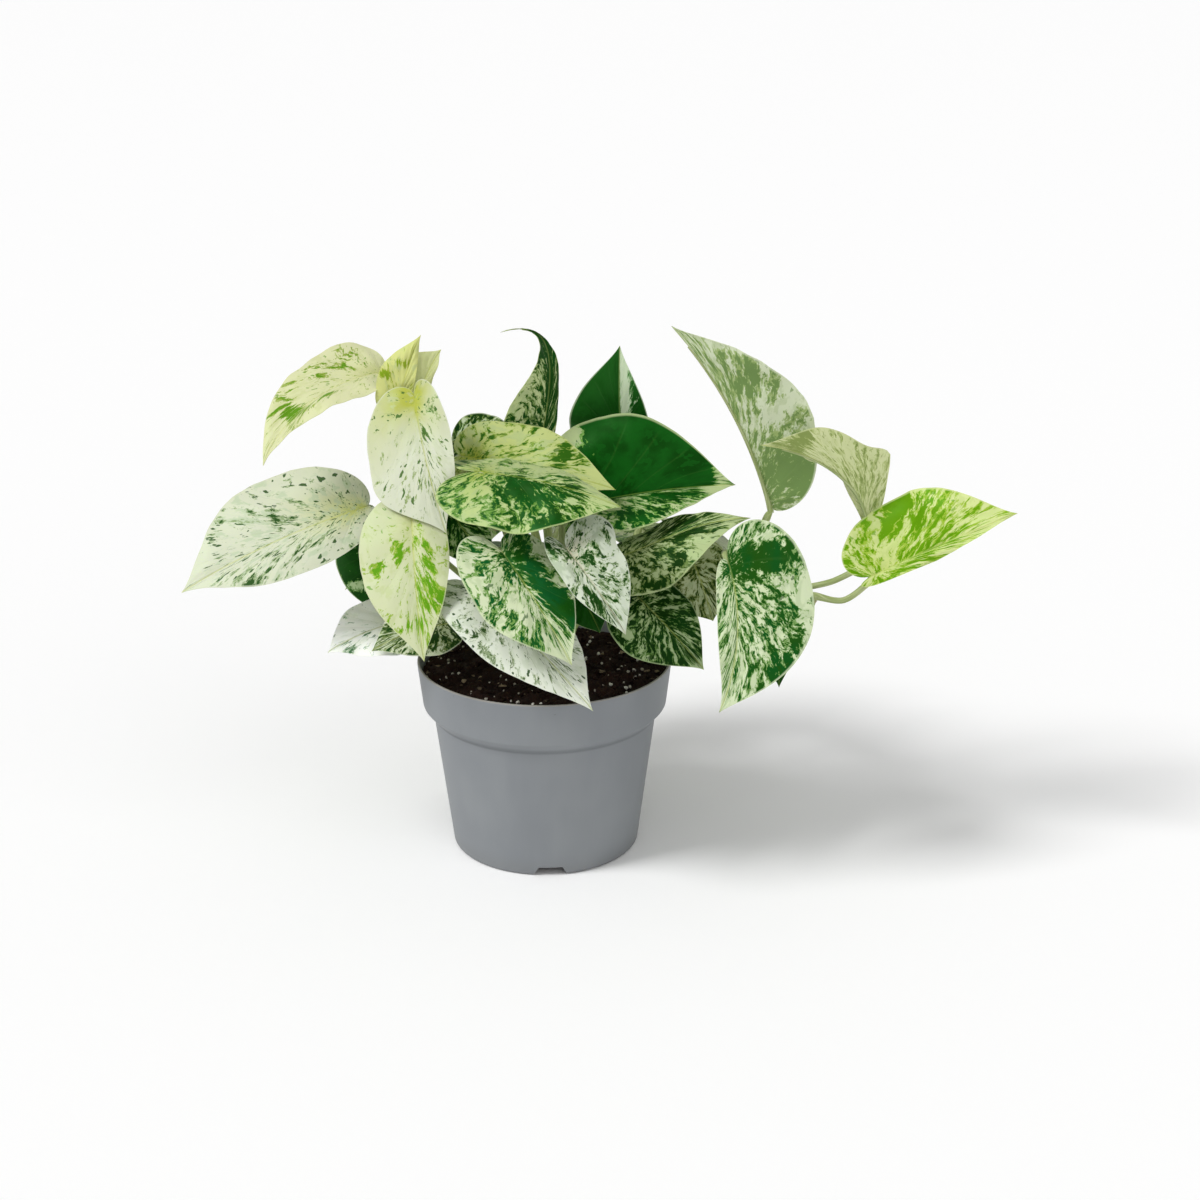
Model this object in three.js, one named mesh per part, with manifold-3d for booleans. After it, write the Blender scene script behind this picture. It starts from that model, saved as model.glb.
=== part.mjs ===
// A potted marble queen pothos: a nursery pot, its soil, its stems and their leaves.
// Millimetres, +Z up, +X to the right of somebody who faces the plant, +Y away from them.
// The origin is the middle of the pot's foot, on the surface that it stands on.

import * as THREE from "three";
import { mergeVertices } from "three/addons/utils/BufferGeometryUtils.js";
import Module from "manifold-3d";

// Pot
const rimDiameter = 120;
const potHeight = 92;
const collarFoot = { radius: 57.2, height: 71 };
const bodyTop = { radius: 52.4, height: 66 };
const footRadius = 44;
const footRound = 2;
const rimRound = { in: 0.9, down: 0.6 };
const potWall = 1.6;
const baseRecess = 2;
const baseThickness = 1.8;
const footRingWidth = 5;
const notch = { count: 3, width: 14, height: 4, firstAngle: -86 };
const drain = { count: 6, radius: 4, circle: 24, sides: 12 };
const potSides = 40;

// Soil
const soilEdgeHeight = 85.5;
const soilMound = 3;
const soilLump = 0.9;
const soilGap = 0.5;
const soilSides = 30;
const soilRings = [1, 0.92, 0.8, 0.64, 0.48, 0.32, 0.16, 0];

// Stems and petioles: each stem stands stemDepth deep in its hole and is straight near the soil's top
const stemRadius = 2.3;
const stemSides = 8;
const stemStep = 8;
const stemDepth = 26;
const stemStraight = 10;
const holeSides = 12;
const petioleRadius = 1.6;
const petioleSides = 5;
const petioleSteps = 6;
const kneeLength = 3;
const touchGap = 0.3;

// Blades
const bladeThickness = 0.8;
const ribs = [0, 0.08, 0.19, 0.31, 0.44, 0.58, 0.73, 0.87, 1];
const acrossHalf = [0.4, 0.75, 1];

const widestRib = 0.42;
const ribSpread = 1.5;

// Half of the heart-shaped outline, as shares of the blade's length and half width: an arc from the
// petiole round the lobe to the widest place, and an arc from there to the tip
function lobeArc(belly, lobe, shoulder) {
  return [[0, 0], [-0.16 * lobe, 0.06], [-0.17 * lobe, shoulder], [belly, 1]];
}

function tipArc(belly, sharp) {
  return [[belly, 1], [(belly + 1) / 2, 1], [0.84 - 0.2 * sharp, 0.2 - 0.2 * sharp], [1, 0]];
}

// What a leaf has where its own row says nothing else: the fold along the midrib, the arch across each
// half and the bow along it, the turn towards the tip, the outline's shape, the margin's wave, and how
// far below the blade the petiole starts to bend.
const usualBlade = {
  fold: 14,
  cup: -30,
  bow: 5,
  turn: 0,
  belly: [0.3, 0.3],
  shoulder: [1, 1],
  lobe: [1, 1],
  sharp: 0,
  wave: 0.8,
  waves: 2.2,
  rise: 7,
};

const colours = {
  pot: 0x8b9196, soil: 0x2a1d16, stem: 0x8fa05a,
  cream: 0xe3e6c4, lime: 0xb9d64c, marbled: 0x9dbb7c, deep: 0x2f6a2c,
};

// Each stem has the points that it grows through and the leaves that it bears. A leaf leaves its stem at
// "at", a share of the stem's length. Its blade runs from base to tip with its upper side to face;
// half holds the widths of its two halves, the one on the left of somebody who looks at the upper side
// with the tip up first. Angles are in degrees.
const stems = [
  {
    name: "left_high",
    path: [[-22, 14], [-32, 16, 120], [-44, 16, 160], [-54, 14, 194]],
    leaves: [
      { at: 0.95, base: [-72, 14, 225], tip: [-123, -24, 192], face: [-0.35, -0.5, 0.78], half: [18, 24],
        via: [[-88, 4, 226], [-114, -10, 216]], fold: 24, belly: [0.3, 0.2], lobe: [0.4, 0.4],
        colour: "cream" },
      { at: 1, base: [-66, -7, 210], tip: [-53, -6, 247], face: [-0.2, -0.95, 0.1], half: [12, 5],
        lobe: [0.4, 0.4], belly: [0.4, 0.4], colour: "lime" },
      { at: 0.97, base: [-57, 8, 211], tip: [-45, 4, 238], face: [-0.3, -0.9, 0.3], half: [14, 6],
        cup: 40, belly: [0.5, 0.5], lobe: [0.3, 0.3], colour: "lime" },
      { at: 0.9, base: [-56, -16, 222], tip: [-41, -44, 167], face: [-0.3, -0.9, 0.25], half: [14, 28],
        belly: [0.4, 0.52], colour: "cream" },
      { at: 0.7, base: [-42, 22, 190], tip: [-4, 20, 177], face: [0.1, -0.8, 0.6], half: [18, 18],
        lobe: [0.4, 0.4], colour: "deep" },
    ],
  },
  {
    name: "left_low",
    path: [[-26, 6], [-36, 4, 108], [-48, 4, 124], [-58, 8, 138]],
    leaves: [
      { at: 0.98, base: [-57, -34, 174], tip: [-51, -62, 114], face: [-0.15, -0.9, 0.4], half: [16, 25],
        colour: "cream" },
      { at: 0.9, base: [-80, -4, 167], tip: [-161, -34, 136], face: [-0.1, -0.7, 0.7], half: [21, 33],
        bow: 8, belly: [0.42, 0.42], lobe: [0.5, 0.5], colour: "cream" },
      { at: 0.7, base: [-76, 18, 145], tip: [-76, 14, 106], face: [-0.4, -0.9, 0.2], half: [15, 24],
        colour: "deep" },
      { at: 0.6, base: [-63, -8, 113], tip: [-98, -26, 104], face: [-0.2, -0.6, 0.77], half: [18, 18],
        colour: "marbled" },
      { at: 0.5, base: [-43, -20, 116], tip: [-77, -34, 108], face: [-0.1, -0.6, 0.8], half: [16, 16],
        colour: "marbled" },
    ],
  },
  {
    name: "front_left",
    path: [[-12, -12], [-16, -20, 106], [-20, -28, 124], [-22, -32, 138]],
    leaves: [
      { at: 0.98, base: [-16, -58, 163], tip: [14, -84, 121], face: [0.25, -0.8, 0.5], half: [19, 24],
        lobe: [1.2, 2.2], petiole: [[-16, -44, 148]], colour: "marbled" },
      { at: 0.8, base: [-28, -46, 142], tip: [23, -82, 99], face: [0.1, -0.7, 0.7], half: [18, 22],
        belly: [0.5, 0.22], shoulder: [0.3, 1], lobe: [0, 1.5], colour: "cream" },
    ],
  },
  {
    name: "middle",
    path: [[-6, -4], [-8, -8, 120], [-14, -12, 150], [-20, -14, 172]],
    leaves: [
      { at: 0.98, base: [-26, -46, 195.7], tip: [35, -68, 186.7], face: [0, -0.45, 0.89], half: [20, 26],
        fold: -16, cup: -15, belly: [0.12, 0.3], lobe: [2.4, 2.4], colour: "marbled" },
      { at: 0.9, base: [-36, -12, 193], tip: [33, -34, 184], face: [0.1, -0.7, 0.7], half: [22, 18],
        lobe: [0.8, 0.8], colour: "lime" },
      { at: 0.6, base: [12, -68, 168], tip: [37, -86, 135.7], face: [0.2, -0.87, 0.45], half: [19, 10],
        belly: [0.2, 0.3], shoulder: [1.8, 1], lobe: [1.8, 2], petiole: [[9, -48, 172]], colour: "cream" },
      { at: 0.8, base: [-42, -26, 174], tip: [-22, -34, 147], face: [0, -0.9, 0.4], half: [12, 14],
        colour: "deep" },
    ],
  },
  {
    name: "crown",
    path: [[4, 16], [4, 18, 120], [2, 16, 146], [0, 14, 164]],
    leaves: [
      { at: 0.98, base: [-3, 8, 181], tip: [-18, -6, 248], face: [0.3, -0.95, 0.1], half: [21, 6],
        via: [[2, 4, 215], [14, 0, 257]], turn: 40, belly: [0.08, 0.3], sharp: 1.5, colour: "deep" },
      { at: 0.9, base: [37, 26, 175], tip: [35, 20, 236], face: [-0.25, -0.95, 0.1], half: [25, 14],
        colour: "deep" },
      { at: 0.75, base: [13, -8, 168], tip: [87, -10, 179], face: [0, -0.65, 0.75], half: [38, 28],
        fold: 35, cup: -20, colour: "deep" },
    ],
  },
  {
    name: "front_right",
    path: [[8, -14], [13, -15, 112], [24, -16, 128], [32, -16, 138]],
    leaves: [
      { at: 0.98, base: [34, -28, 151], tip: [92, -40, 173], face: [0, -0.55, 0.83], half: [11, 24],
        via: [[48, -32, 156], [66, -36, 171]], fold: 6, belly: [0.45, 0.3], colour: "marbled" },
      { at: 0.8, base: [42, -34, 135], tip: [72, -54, 107], face: [0.1, -0.85, 0.5], half: [16, 22],
        colour: "deep" },
      { at: 0.6, base: [16, -24, 133], tip: [26, -32, 116], face: [0.1, -0.85, 0.5], half: [11, 11],
        colour: "deep" },
    ],
  },
  {
    name: "long_right",
    path: [[6, 6], [12, 4, 118], [34, 0, 134], [68, -4, 128], [104, -5, 119], [126, -3, 121]],
    leaves: [
      { at: 0.55, base: [67, -20, 149], tip: [77, -30, 121], face: [0.1, -0.9, 0.3], half: [16, 22],
        colour: "cream" },
      { at: 0.71, base: [82, -50, 156], tip: [78, -72, 94], face: [-0.05, -0.93, 0.35], half: [34, 9],
        via: [[88, -57, 139], [88, -65, 115]], belly: [0.34, 0.4], lobe: [2, 0.4],
        petiole: [[95, -28, 140]], colour: "marbled" },
      { at: 0.76, base: [103, -14, 125], tip: [108, -26, 87], face: [0.2, -0.93, 0.3], half: [11, 11],
        colour: "deep" },
      { at: 0.8, base: [105, 6, 163], tip: [57, -20, 254], face: [0.75, 0.6, 0.3], half: [35, 23],
        fold: 45, bow: 9, belly: [0.4, 0.3], shoulder: [0.7, 1], lobe: [0.3, 0.5], colour: "cream" },
      { at: 0.94, base: [150, 4, 146], tip: [96, -36, 205], face: [0, 0.7, 0.7], half: [22, 8],
        via: [[150, -4, 178], [124, -16, 196]], fold: 55, belly: [0.36, 0.4], shoulder: [0, 0.4],
        lobe: [0, 0], wave: -5, waves: 2,
        petiole: [[135, 0, 130]], colour: "cream" },
      { at: 0.99, base: [150, -14, 137], tip: [211, -30, 172], face: [-0.2, -0.8, 0.5], half: [29, 6],
        belly: [0.36, 0.36], lobe: [1.5, 1], petiole: [[138, -8, 123]], colour: "lime" },
    ],
  },
  {
    name: "back_left",
    path: [[-20, 30], [-28, 42, 108], [-38, 52, 128], [-46, 58, 142]],
    leaves: [
      { at: 0.98, base: [-62, 60, 150], tip: [-94, 78, 112], face: [-0.45, 0.55, 0.7], half: [24, 24],
        colour: "cream" },
      { at: 0.85, base: [-32, 86, 152], tip: [-34, 116, 106], face: [-0.1, 0.85, 0.5], half: [25, 25],
        colour: "marbled" },
      { at: 0.65, base: [-60, 40, 136], tip: [-98, 48, 108], face: [-0.5, 0.2, 0.8], half: [20, 20],
        colour: "marbled" },
      { at: 0.45, base: [-18, 70, 124], tip: [-14, 98, 92], face: [0, 0.75, 0.65], half: [20, 20],
        colour: "deep" },
    ],
  },
  {
    name: "back_middle",
    path: [[2, 36], [0, 46, 112], [-6, 52, 138], [-12, 54, 158]],
    leaves: [
      { at: 0.98, base: [-14, 62, 182], tip: [-44, 100, 162], face: [-0.3, 0.5, 0.8], half: [26, 26],
        colour: "lime" },
      { at: 0.85, base: [12, 66, 172], tip: [40, 100, 144], face: [0.3, 0.6, 0.75], half: [24, 24],
        colour: "marbled" },
      { at: 0.6, base: [8, 78, 138], tip: [14, 112, 108], face: [0.1, 0.75, 0.65], half: [21, 21],
        colour: "cream" },
    ],
  },
  {
    name: "back_right",
    path: [[12, 28], [26, 38, 110], [44, 44, 126], [54, 46, 136]],
    leaves: [
      { at: 0.98, base: [64, 52, 140], tip: [94, 72, 112], face: [0.4, 0.4, 0.8], half: [22, 22],
        colour: "cream" },
      { at: 0.85, base: [46, 74, 132], tip: [58, 104, 98], face: [0.25, 0.8, 0.55], half: [23, 23],
        colour: "marbled" },
      { at: 0.65, base: [72, 24, 128], tip: [104, 26, 100], face: [0.5, 0.1, 0.85], half: [19, 19],
        colour: "deep" },
    ],
  },
];

const wasm = await Module();
wasm.setup();
const radians = THREE.MathUtils.degToRad;

// A closed geometry as a solid, with its shared corners merged and its empty triangles left out
function solidOf(geometry) {
  const bare = geometry.clone();
  bare.deleteAttribute("normal");
  bare.deleteAttribute("uv");
  const merged = mergeVertices(bare, 1e-4);
  const index = merged.index.array;
  const faces = [];
  for (let i = 0; i < index.length; i += 3) {
    const [a, b, c] = [index[i], index[i + 1], index[i + 2]];
    if (a !== b && b !== c && c !== a) faces.push(a, b, c);
  }
  return new wasm.Manifold(new wasm.Mesh({
    numProp: 3,
    vertProperties: new Float32Array(merged.attributes.position.array),
    triVerts: new Uint32Array(faces),
  }));
}

function geometryOf(solid) {
  const mesh = solid.getMesh();
  const geometry = new THREE.BufferGeometry();
  geometry.setAttribute("position", new THREE.BufferAttribute(new Float32Array(mesh.vertProperties), 3));
  geometry.setIndex(new THREE.BufferAttribute(new Uint32Array(mesh.triVerts), 1));
  geometry.computeVertexNormals();
  return geometry;
}

// A profile of [radius, height] points turned round the Z axis
function turned(profile, sides) {
  const lathe = new THREE.LatheGeometry(profile.map(([r, z]) => new THREE.Vector2(r, z)), sides);
  return lathe.rotateX(Math.PI / 2);
}

function pin(radius, low, high, x, y, sides) {
  const geometry = new THREE.CylinderGeometry(radius, radius, high - low, sides);
  return geometry.rotateX(Math.PI / 2).translate(x, y, (low + high) / 2);
}

// A round section swept along a curve
function tube(curve, radius, sides, steps) {
  const ring = [];
  for (let i = 0; i < sides; i++) {
    const angle = (2 * Math.PI * i) / sides;
    ring.push(new THREE.Vector2(radius * Math.cos(angle), radius * Math.sin(angle)));
  }
  const shape = new THREE.Shape(ring);
  return new THREE.ExtrudeGeometry(shape, { steps, extrudePath: curve, bevelEnabled: false });
}

function potGeometry() {
  const baseTop = baseRecess + baseThickness;
  const outside = [
    [footRadius - footRound, 0],
    [footRadius, footRound],
    [bodyTop.radius, bodyTop.height],
    [collarFoot.radius, collarFoot.height],
    [rimDiameter / 2 - rimRound.in / 2, potHeight - rimRound.down],
    [rimDiameter / 2 - rimRound.in, potHeight],
  ];
  const inside = [
    [rimDiameter / 2 - potWall, potHeight],
    [collarFoot.radius - potWall, collarFoot.height],
    [bodyTop.radius - potWall, bodyTop.height],
    [footRadius - potWall, baseTop],
    [0, baseTop],
    [0, baseRecess],
    [footRadius - footRingWidth, baseRecess],
    [footRadius - footRingWidth, 0],
  ];
  let solid = solidOf(turned([...outside, ...inside, outside[0]], potSides));
  for (let i = 0; i < notch.count; i++) {
    const angle = radians(notch.firstAngle + (360 * i) / notch.count);
    const cutter = new THREE.BoxGeometry(3 * footRingWidth, notch.width, 2 * notch.height);
    cutter.translate(footRadius, 0, 0).rotateZ(angle);
    solid = solid.subtract(solidOf(cutter));
  }
  for (let i = 0; i < drain.count; i++) {
    const angle = radians((360 * (i + 0.5)) / drain.count);
    const [x, y] = [drain.circle * Math.cos(angle), drain.circle * Math.sin(angle)];
    solid = solid.subtract(solidOf(pin(drain.radius, 0, baseTop + 1, x, y, drain.sides)));
  }
  return geometryOf(solid);
}

// Height of the soil's crumbly top at a place
function soilTop(x, y) {
  const reach = Math.hypot(x, y) / (rimDiameter / 2);
  const mound = soilMound * Math.cos((Math.PI / 2) * Math.min(reach, 1));
  const wide = Math.sin(0.43 * x + 1.1) * Math.sin(0.37 * y + 0.4);
  const lumps = wide + 0.6 * Math.sin(0.81 * x - 0.63 * y);
  return soilEdgeHeight + mound + soilLump * lumps * (1 - reach ** 4);
}

function soilGeometry() {
  const inset = potWall + soilGap;
  const floor = baseRecess + baseThickness + touchGap;
  const collarShare = (soilEdgeHeight - collarFoot.height) / (potHeight - collarFoot.height);
  const topRadius = THREE.MathUtils.lerp(collarFoot.radius, rimDiameter / 2, collarShare) - inset;
  const profile = [
    [0, floor],
    [footRadius - inset, floor],
    [bodyTop.radius - inset, bodyTop.height],
    [collarFoot.radius - inset, collarFoot.height],
    ...soilRings.map((share) => [topRadius * share, soilEdgeHeight]),
  ];
  const geometry = turned(profile, soilSides);
  const place = geometry.attributes.position;
  for (let i = 0; i < place.count; i++) {
    if (place.getZ(i) > soilEdgeHeight - 0.01) {
      place.setZ(i, soilTop(place.getX(i), place.getY(i)));
    }
  }
  let solid = solidOf(geometry);
  for (const { path } of stems) {
    const [x, y] = path[0];
    const bottom = soilEdgeHeight - stemDepth - touchGap;
    const hole = pin(stemRadius + touchGap, bottom, potHeight, x, y, holeSides);
    solid = solid.subtract(solidOf(hole));
  }
  return geometryOf(solid);
}

// A stem stands straight in its hole and then grows through its points
function stemCurve({ path }) {
  const [[x, y], ...rest] = path;
  const points = [
    new THREE.Vector3(x, y, soilEdgeHeight - stemDepth),
    new THREE.Vector3(x, y, soilEdgeHeight - stemStraight),
    new THREE.Vector3(x, y, soilEdgeHeight + soilMound),
    new THREE.Vector3(x, y, soilEdgeHeight + stemStraight),
    ...rest.map((point) => new THREE.Vector3(...point)),
  ];
  return new THREE.CatmullRomCurve3(points, false, "centripetal");
}

function cubic(points, t) {
  const s = 1 - t;
  const weights = [s * s * s, 3 * s * s * t, 3 * s * t * t, t * t * t];
  return [0, 1].map((axis) => weights.reduce((sum, weight, i) => sum + weight * points[i][axis], 0));
}

// Where a lateral rib ends on the outline, as shares of the length and the half width
function outlineAt(rib, { belly, lobe, shoulder, sharp }, hand) {
  if (rib < widestRib) return cubic(lobeArc(belly[hand], lobe[hand], shoulder[hand]), rib / widestRib);
  return cubic(tipArc(belly[hand], sharp), (rib - widestRib) / (1 - widestRib));
}

// The blade's curved middle surface, with the point at a rib and a share across it
function bladeSurface(leaf) {
  const base = new THREE.Vector3(...leaf.base);
  const tip = new THREE.Vector3(...leaf.tip);
  const face = new THREE.Vector3(...leaf.face).normalize();
  const chord = tip.clone().sub(base);
  const bowed = (share) => base.clone().addScaledVector(chord, share).addScaledVector(face, leaf.bow);
  const given = (leaf.via || []).map((point) => new THREE.Vector3(...point));
  const [first, second] = leaf.via ? given : [bowed(1 / 3), bowed(2 / 3)];
  const midrib = new THREE.CubicBezierCurve3(base, first, second, tip);
  const length = midrib.getLength();

  function frame(along) {
    const t = Math.min(Math.max(along, 0), 1);
    const forward = midrib.getTangent(t);
    const normal = face.clone().addScaledVector(forward, -face.dot(forward)).normalize();
    normal.applyAxisAngle(forward, radians(leaf.turn * t));
    const left = normal.clone().cross(forward);
    const centre = midrib.getPoint(t).addScaledVector(forward, (along - t) * length);
    return { centre, forward, normal, left };
  }

  function point(rib, share, side) {
    const hand = side > 0 ? 0 : 1;
    const [endAlong, endAcross] = outlineAt(rib, leaf, hand);
    const start = rib ** ribSpread;
    const along = start + (endAlong - start) * share;
    const across = endAcross * share;
    const { centre, normal, left } = frame(along);
    const half = leaf.half[hand];
    const fold = radians(leaf.fold);
    const curl = radians(leaf.cup || 0.01);
    const out = (half / curl) * (Math.sin(fold + curl * across) - Math.sin(fold));
    const lift = (half / curl) * (Math.cos(fold) - Math.cos(fold + curl * across));
    const ripple = leaf.wave * across * across
      * Math.sin(2 * Math.PI * leaf.waves * along + side);
    return centre.addScaledVector(left, side * out).addScaledVector(normal, lift + ripple);
  }

  return { point, frame, length };
}

// A thin closed blade: the same triangles on both faces, joined round the margin
function bladeGeometry(surface) {
  const last = ribs.length - 1;
  const wide = acrossHalf.length;
  const corners = [];
  const indexOf = new Map();
  for (let i = 0; i <= last; i++) {
    for (let j = -wide; j <= wide; j++) {
      const pole = i === 0 || i === last;
      if (pole && j !== -wide) {
        indexOf.set(`${i},${j}`, corners.length - 1);
        continue;
      }
      const share = j === 0 ? 0 : acrossHalf[Math.abs(j) - 1];
      corners.push(surface.point(ribs[i], pole ? 0 : share, j < 0 ? -1 : 1));
      indexOf.set(`${i},${j}`, corners.length - 1);
    }
  }
  const at = (i, j) => indexOf.get(`${i},${j}`);
  const faces = [];
  const addFace = (a, b, c) => {
    if (a !== b && b !== c && c !== a) faces.push([a, b, c]);
  };
  for (let i = 0; i < last; i++) {
    for (let j = -wide; j < wide; j++) {
      const [a, b, c, d] = [at(i, j), at(i + 1, j), at(i + 1, j + 1), at(i, j + 1)];
      if (j < 0) {
        addFace(a, b, c);
        addFace(a, c, d);
      } else {
        addFace(a, b, d);
        addFace(b, c, d);
      }
    }
  }
  const normals = corners.map(() => new THREE.Vector3());
  for (const face of faces) {
    const [a, b, c] = face.map((i) => corners[i]);
    const across = b.clone().sub(a).cross(c.clone().sub(a));
    face.forEach((i) => normals[i].add(across));
  }
  normals.forEach((normal) => normal.normalize());
  const positions = [];
  for (const offset of [bladeThickness / 2, -bladeThickness / 2]) {
    corners.forEach((corner, i) => {
      positions.push(...corner.clone().addScaledVector(normals[i], offset));
    });
  }
  const under = corners.length;
  const index = faces.flatMap(([a, b, c]) => [a, b, c, under + a, under + c, under + b]);
  const margin = [];
  for (let i = 0; i <= last; i++) margin.push(at(i, wide));
  for (let i = last - 1; i > 0; i--) margin.push(at(i, -wide));
  margin.forEach((a, i) => {
    const b = margin[(i + 1) % margin.length];
    index.push(a, b, under + b, a, under + b, under + a);
  });
  const geometry = new THREE.BufferGeometry();
  geometry.setAttribute("position", new THREE.Float32BufferAttribute(positions, 3));
  geometry.setIndex(index);
  return geometry;
}

// The petiole leaves its stem square, then swings round to come up under the blade's base
function petioleCurve(leaf, surface, curve) {
  const foot = curve.getPointAt(leaf.at);
  const along = curve.getTangentAt(leaf.at);
  const { centre, forward, normal } = surface.frame(0);
  const outward = centre.clone().sub(foot);
  outward.addScaledVector(along, -outward.dot(along)).normalize();
  const start = foot.clone().addScaledVector(outward, stemRadius + touchGap);
  const knee = start.clone().addScaledVector(outward, kneeLength);
  const reach = Math.min(leaf.rise, centre.distanceTo(knee) * 0.4);
  const under = centre.clone().addScaledVector(forward, -0.6 * reach);
  under.addScaledVector(normal, -0.8 * reach);
  const bends = (leaf.petiole || []).map((point) => new THREE.Vector3(...point));
  return new THREE.CatmullRomCurve3([start, knee, ...bends, under, centre], false, "centripetal");
}

function leafGeometry(row, curve) {
  const leaf = { ...usualBlade, ...row };
  const surface = bladeSurface(leaf);
  const blade = solidOf(bladeGeometry(surface));
  const path = petioleCurve(leaf, surface, curve);
  const petiole = solidOf(tube(path, petioleRadius, petioleSides, petioleSteps));
  return geometryOf(blade.add(petiole));
}

function material(colour, roughness) {
  return new THREE.MeshStandardMaterial({ color: colours[colour], roughness, metalness: 0 });
}

function add(parent, name, geometry, finish) {
  const mesh = new THREE.Mesh(geometry, finish);
  mesh.name = name;
  parent.add(mesh);
}

const plant = new THREE.Group();
add(plant, "pot", potGeometry(), material("pot", 0.5));
add(plant, "soil", soilGeometry(), material("soil", 0.95));
for (const stem of stems) {
  const shoot = new THREE.Group();
  const curve = stemCurve(stem);
  const steps = Math.round(curve.getLength() / stemStep);
  add(shoot, `stem_${stem.name}`, tube(curve, stemRadius, stemSides, steps), material("stem", 0.6));
  stem.leaves.forEach((leaf, i) => {
    add(shoot, `leaf_${stem.name}_${i + 1}`, leafGeometry(leaf, curve), material(leaf.colour, 0.45));
  });
  plant.add(shoot);
}

export default plant;
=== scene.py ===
import math

import bmesh
import bpy
import numpy as np
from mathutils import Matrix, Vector, kdtree


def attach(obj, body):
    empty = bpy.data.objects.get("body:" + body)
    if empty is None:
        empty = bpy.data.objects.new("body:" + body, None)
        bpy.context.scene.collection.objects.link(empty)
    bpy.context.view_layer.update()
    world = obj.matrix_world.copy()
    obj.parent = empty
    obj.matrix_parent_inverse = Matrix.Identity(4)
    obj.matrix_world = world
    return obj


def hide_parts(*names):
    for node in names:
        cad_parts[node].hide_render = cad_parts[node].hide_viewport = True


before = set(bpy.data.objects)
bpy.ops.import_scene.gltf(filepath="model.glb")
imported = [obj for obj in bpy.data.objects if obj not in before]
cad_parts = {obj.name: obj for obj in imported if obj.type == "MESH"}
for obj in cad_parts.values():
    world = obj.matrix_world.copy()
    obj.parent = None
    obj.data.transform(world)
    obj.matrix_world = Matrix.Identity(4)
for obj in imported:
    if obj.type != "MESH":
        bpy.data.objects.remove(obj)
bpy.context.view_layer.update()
scene = bpy.context.scene
mm = 0.001

# Camera, as fitted to the pot in the photograph
camera = dict(aim=(26, 0, 120.2), distance=1000, pitch=20, lens=64.65, sensor=36)


def placeCamera():
    data = bpy.data.cameras.new("camera")
    data.lens, data.sensor_width, data.clip_end = camera["lens"], camera["sensor"], 100
    seat = bpy.data.objects.new("camera", data)
    pitch = math.radians(camera["pitch"])
    back = Vector((0, -math.cos(pitch), math.sin(pitch))) * camera["distance"]
    seat.location = (Vector(camera["aim"]) + back) * mm
    seat.rotation_euler = (math.pi / 2 - pitch, 0, 0)
    scene.collection.objects.link(seat)
    scene.camera = seat


placeCamera()
print("camera placed")


# Shader maths: a wire is a node's output that can stand in a sum
class Wire:
    def __init__(self, tree, socket=None):
        self.tree, self.socket = tree, socket

    def node(self, kind, settings=None, sockets=None, out=0):
        made = self.tree.nodes.new("ShaderNode" + kind)
        for key, value in (settings or {}).items():
            setattr(made, key, value)
        for key, value in (sockets or {}).items():
            if isinstance(value, Wire):
                self.tree.links.new(value.socket, made.inputs[key])
            else:
                made.inputs[key].default_value = value
        return Wire(self.tree, made.outputs[out])

    def maths(self, operation, *values):
        return self.node("Math", {"operation": operation}, dict(enumerate(values)))

    def __add__(self, other):
        return self.maths("ADD", self, other)

    def __sub__(self, other):
        return self.maths("SUBTRACT", self, other)

    def __rsub__(self, other):
        return self.maths("SUBTRACT", other, self)

    def __mul__(self, other):
        return self.maths("MULTIPLY", self, other)

    def __truediv__(self, other):
        return self.maths("DIVIDE", self, other)

    def __rtruediv__(self, other):
        return self.maths("DIVIDE", other, self)

    def __abs__(self):
        return self.maths("ABSOLUTE", self)

    __radd__ = __add__
    __rmul__ = __mul__

    # 0 below low, 1 above high, and a soft step between them
    def step(self, low, high):
        settings = {"interpolation_type": "SMOOTHSTEP"}
        return self.node("MapRange", settings, {0: self, 1: low, 2: high, 3: 0.0, 4: 1.0})

    # Colour off where this wire is 0 and on where it is 1
    def pick(self, off, on):
        return self.node("Mix", {"data_type": "RGBA"}, {0: self, 6: off, 7: on}, out=2)

    def attribute(self, name, out="Fac"):
        return self.node("Attribute", {"attribute_name": name}, out=out)

    def parts(self):
        return [self.node("SeparateXYZ", {}, {0: self}, out=axis) for axis in range(3)]

    # Relief for Normal from this wire's height; distance is in metres
    def bump(self, strength, distance):
        return self.node("Bump", {}, {"Strength": strength, "Distance": distance, "Height": self})

    def noise(self, place, detail=2.0, roughness=0.5, distortion=0.0):
        at = place if isinstance(place, Wire) else self.node("CombineXYZ", {}, dict(enumerate(place)))
        return self.node("TexNoise", {}, {"Vector": at, "Scale": 1.0, "Detail": detail,
                                          "Roughness": roughness, "Distortion": distortion})


def newFinish(name, constants):
    finish = bpy.data.materials.new(name)
    finish.use_nodes = True
    tree = finish.node_tree
    shader = tree.nodes["Principled BSDF"]
    for key, value in constants.items():
        shader.inputs[key].default_value = value
    wire = Wire(tree)

    def feed(socket, value):
        tree.links.new(value.socket, shader.inputs[socket])

    return finish, wire, feed


def linear(share):
    return share / 12.92 if share <= 0.04045 else ((share + 0.055) / 1.055) ** 2.4


def colour(text):
    return (*[linear(int(text[i:i + 2], 16) / 255) for i in (0, 2, 4)], 1.0)


# Mesh helpers
def unit(vectors):
    return vectors / np.maximum(np.linalg.norm(vectors, axis=-1, keepdims=True), 1e-9)


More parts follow.
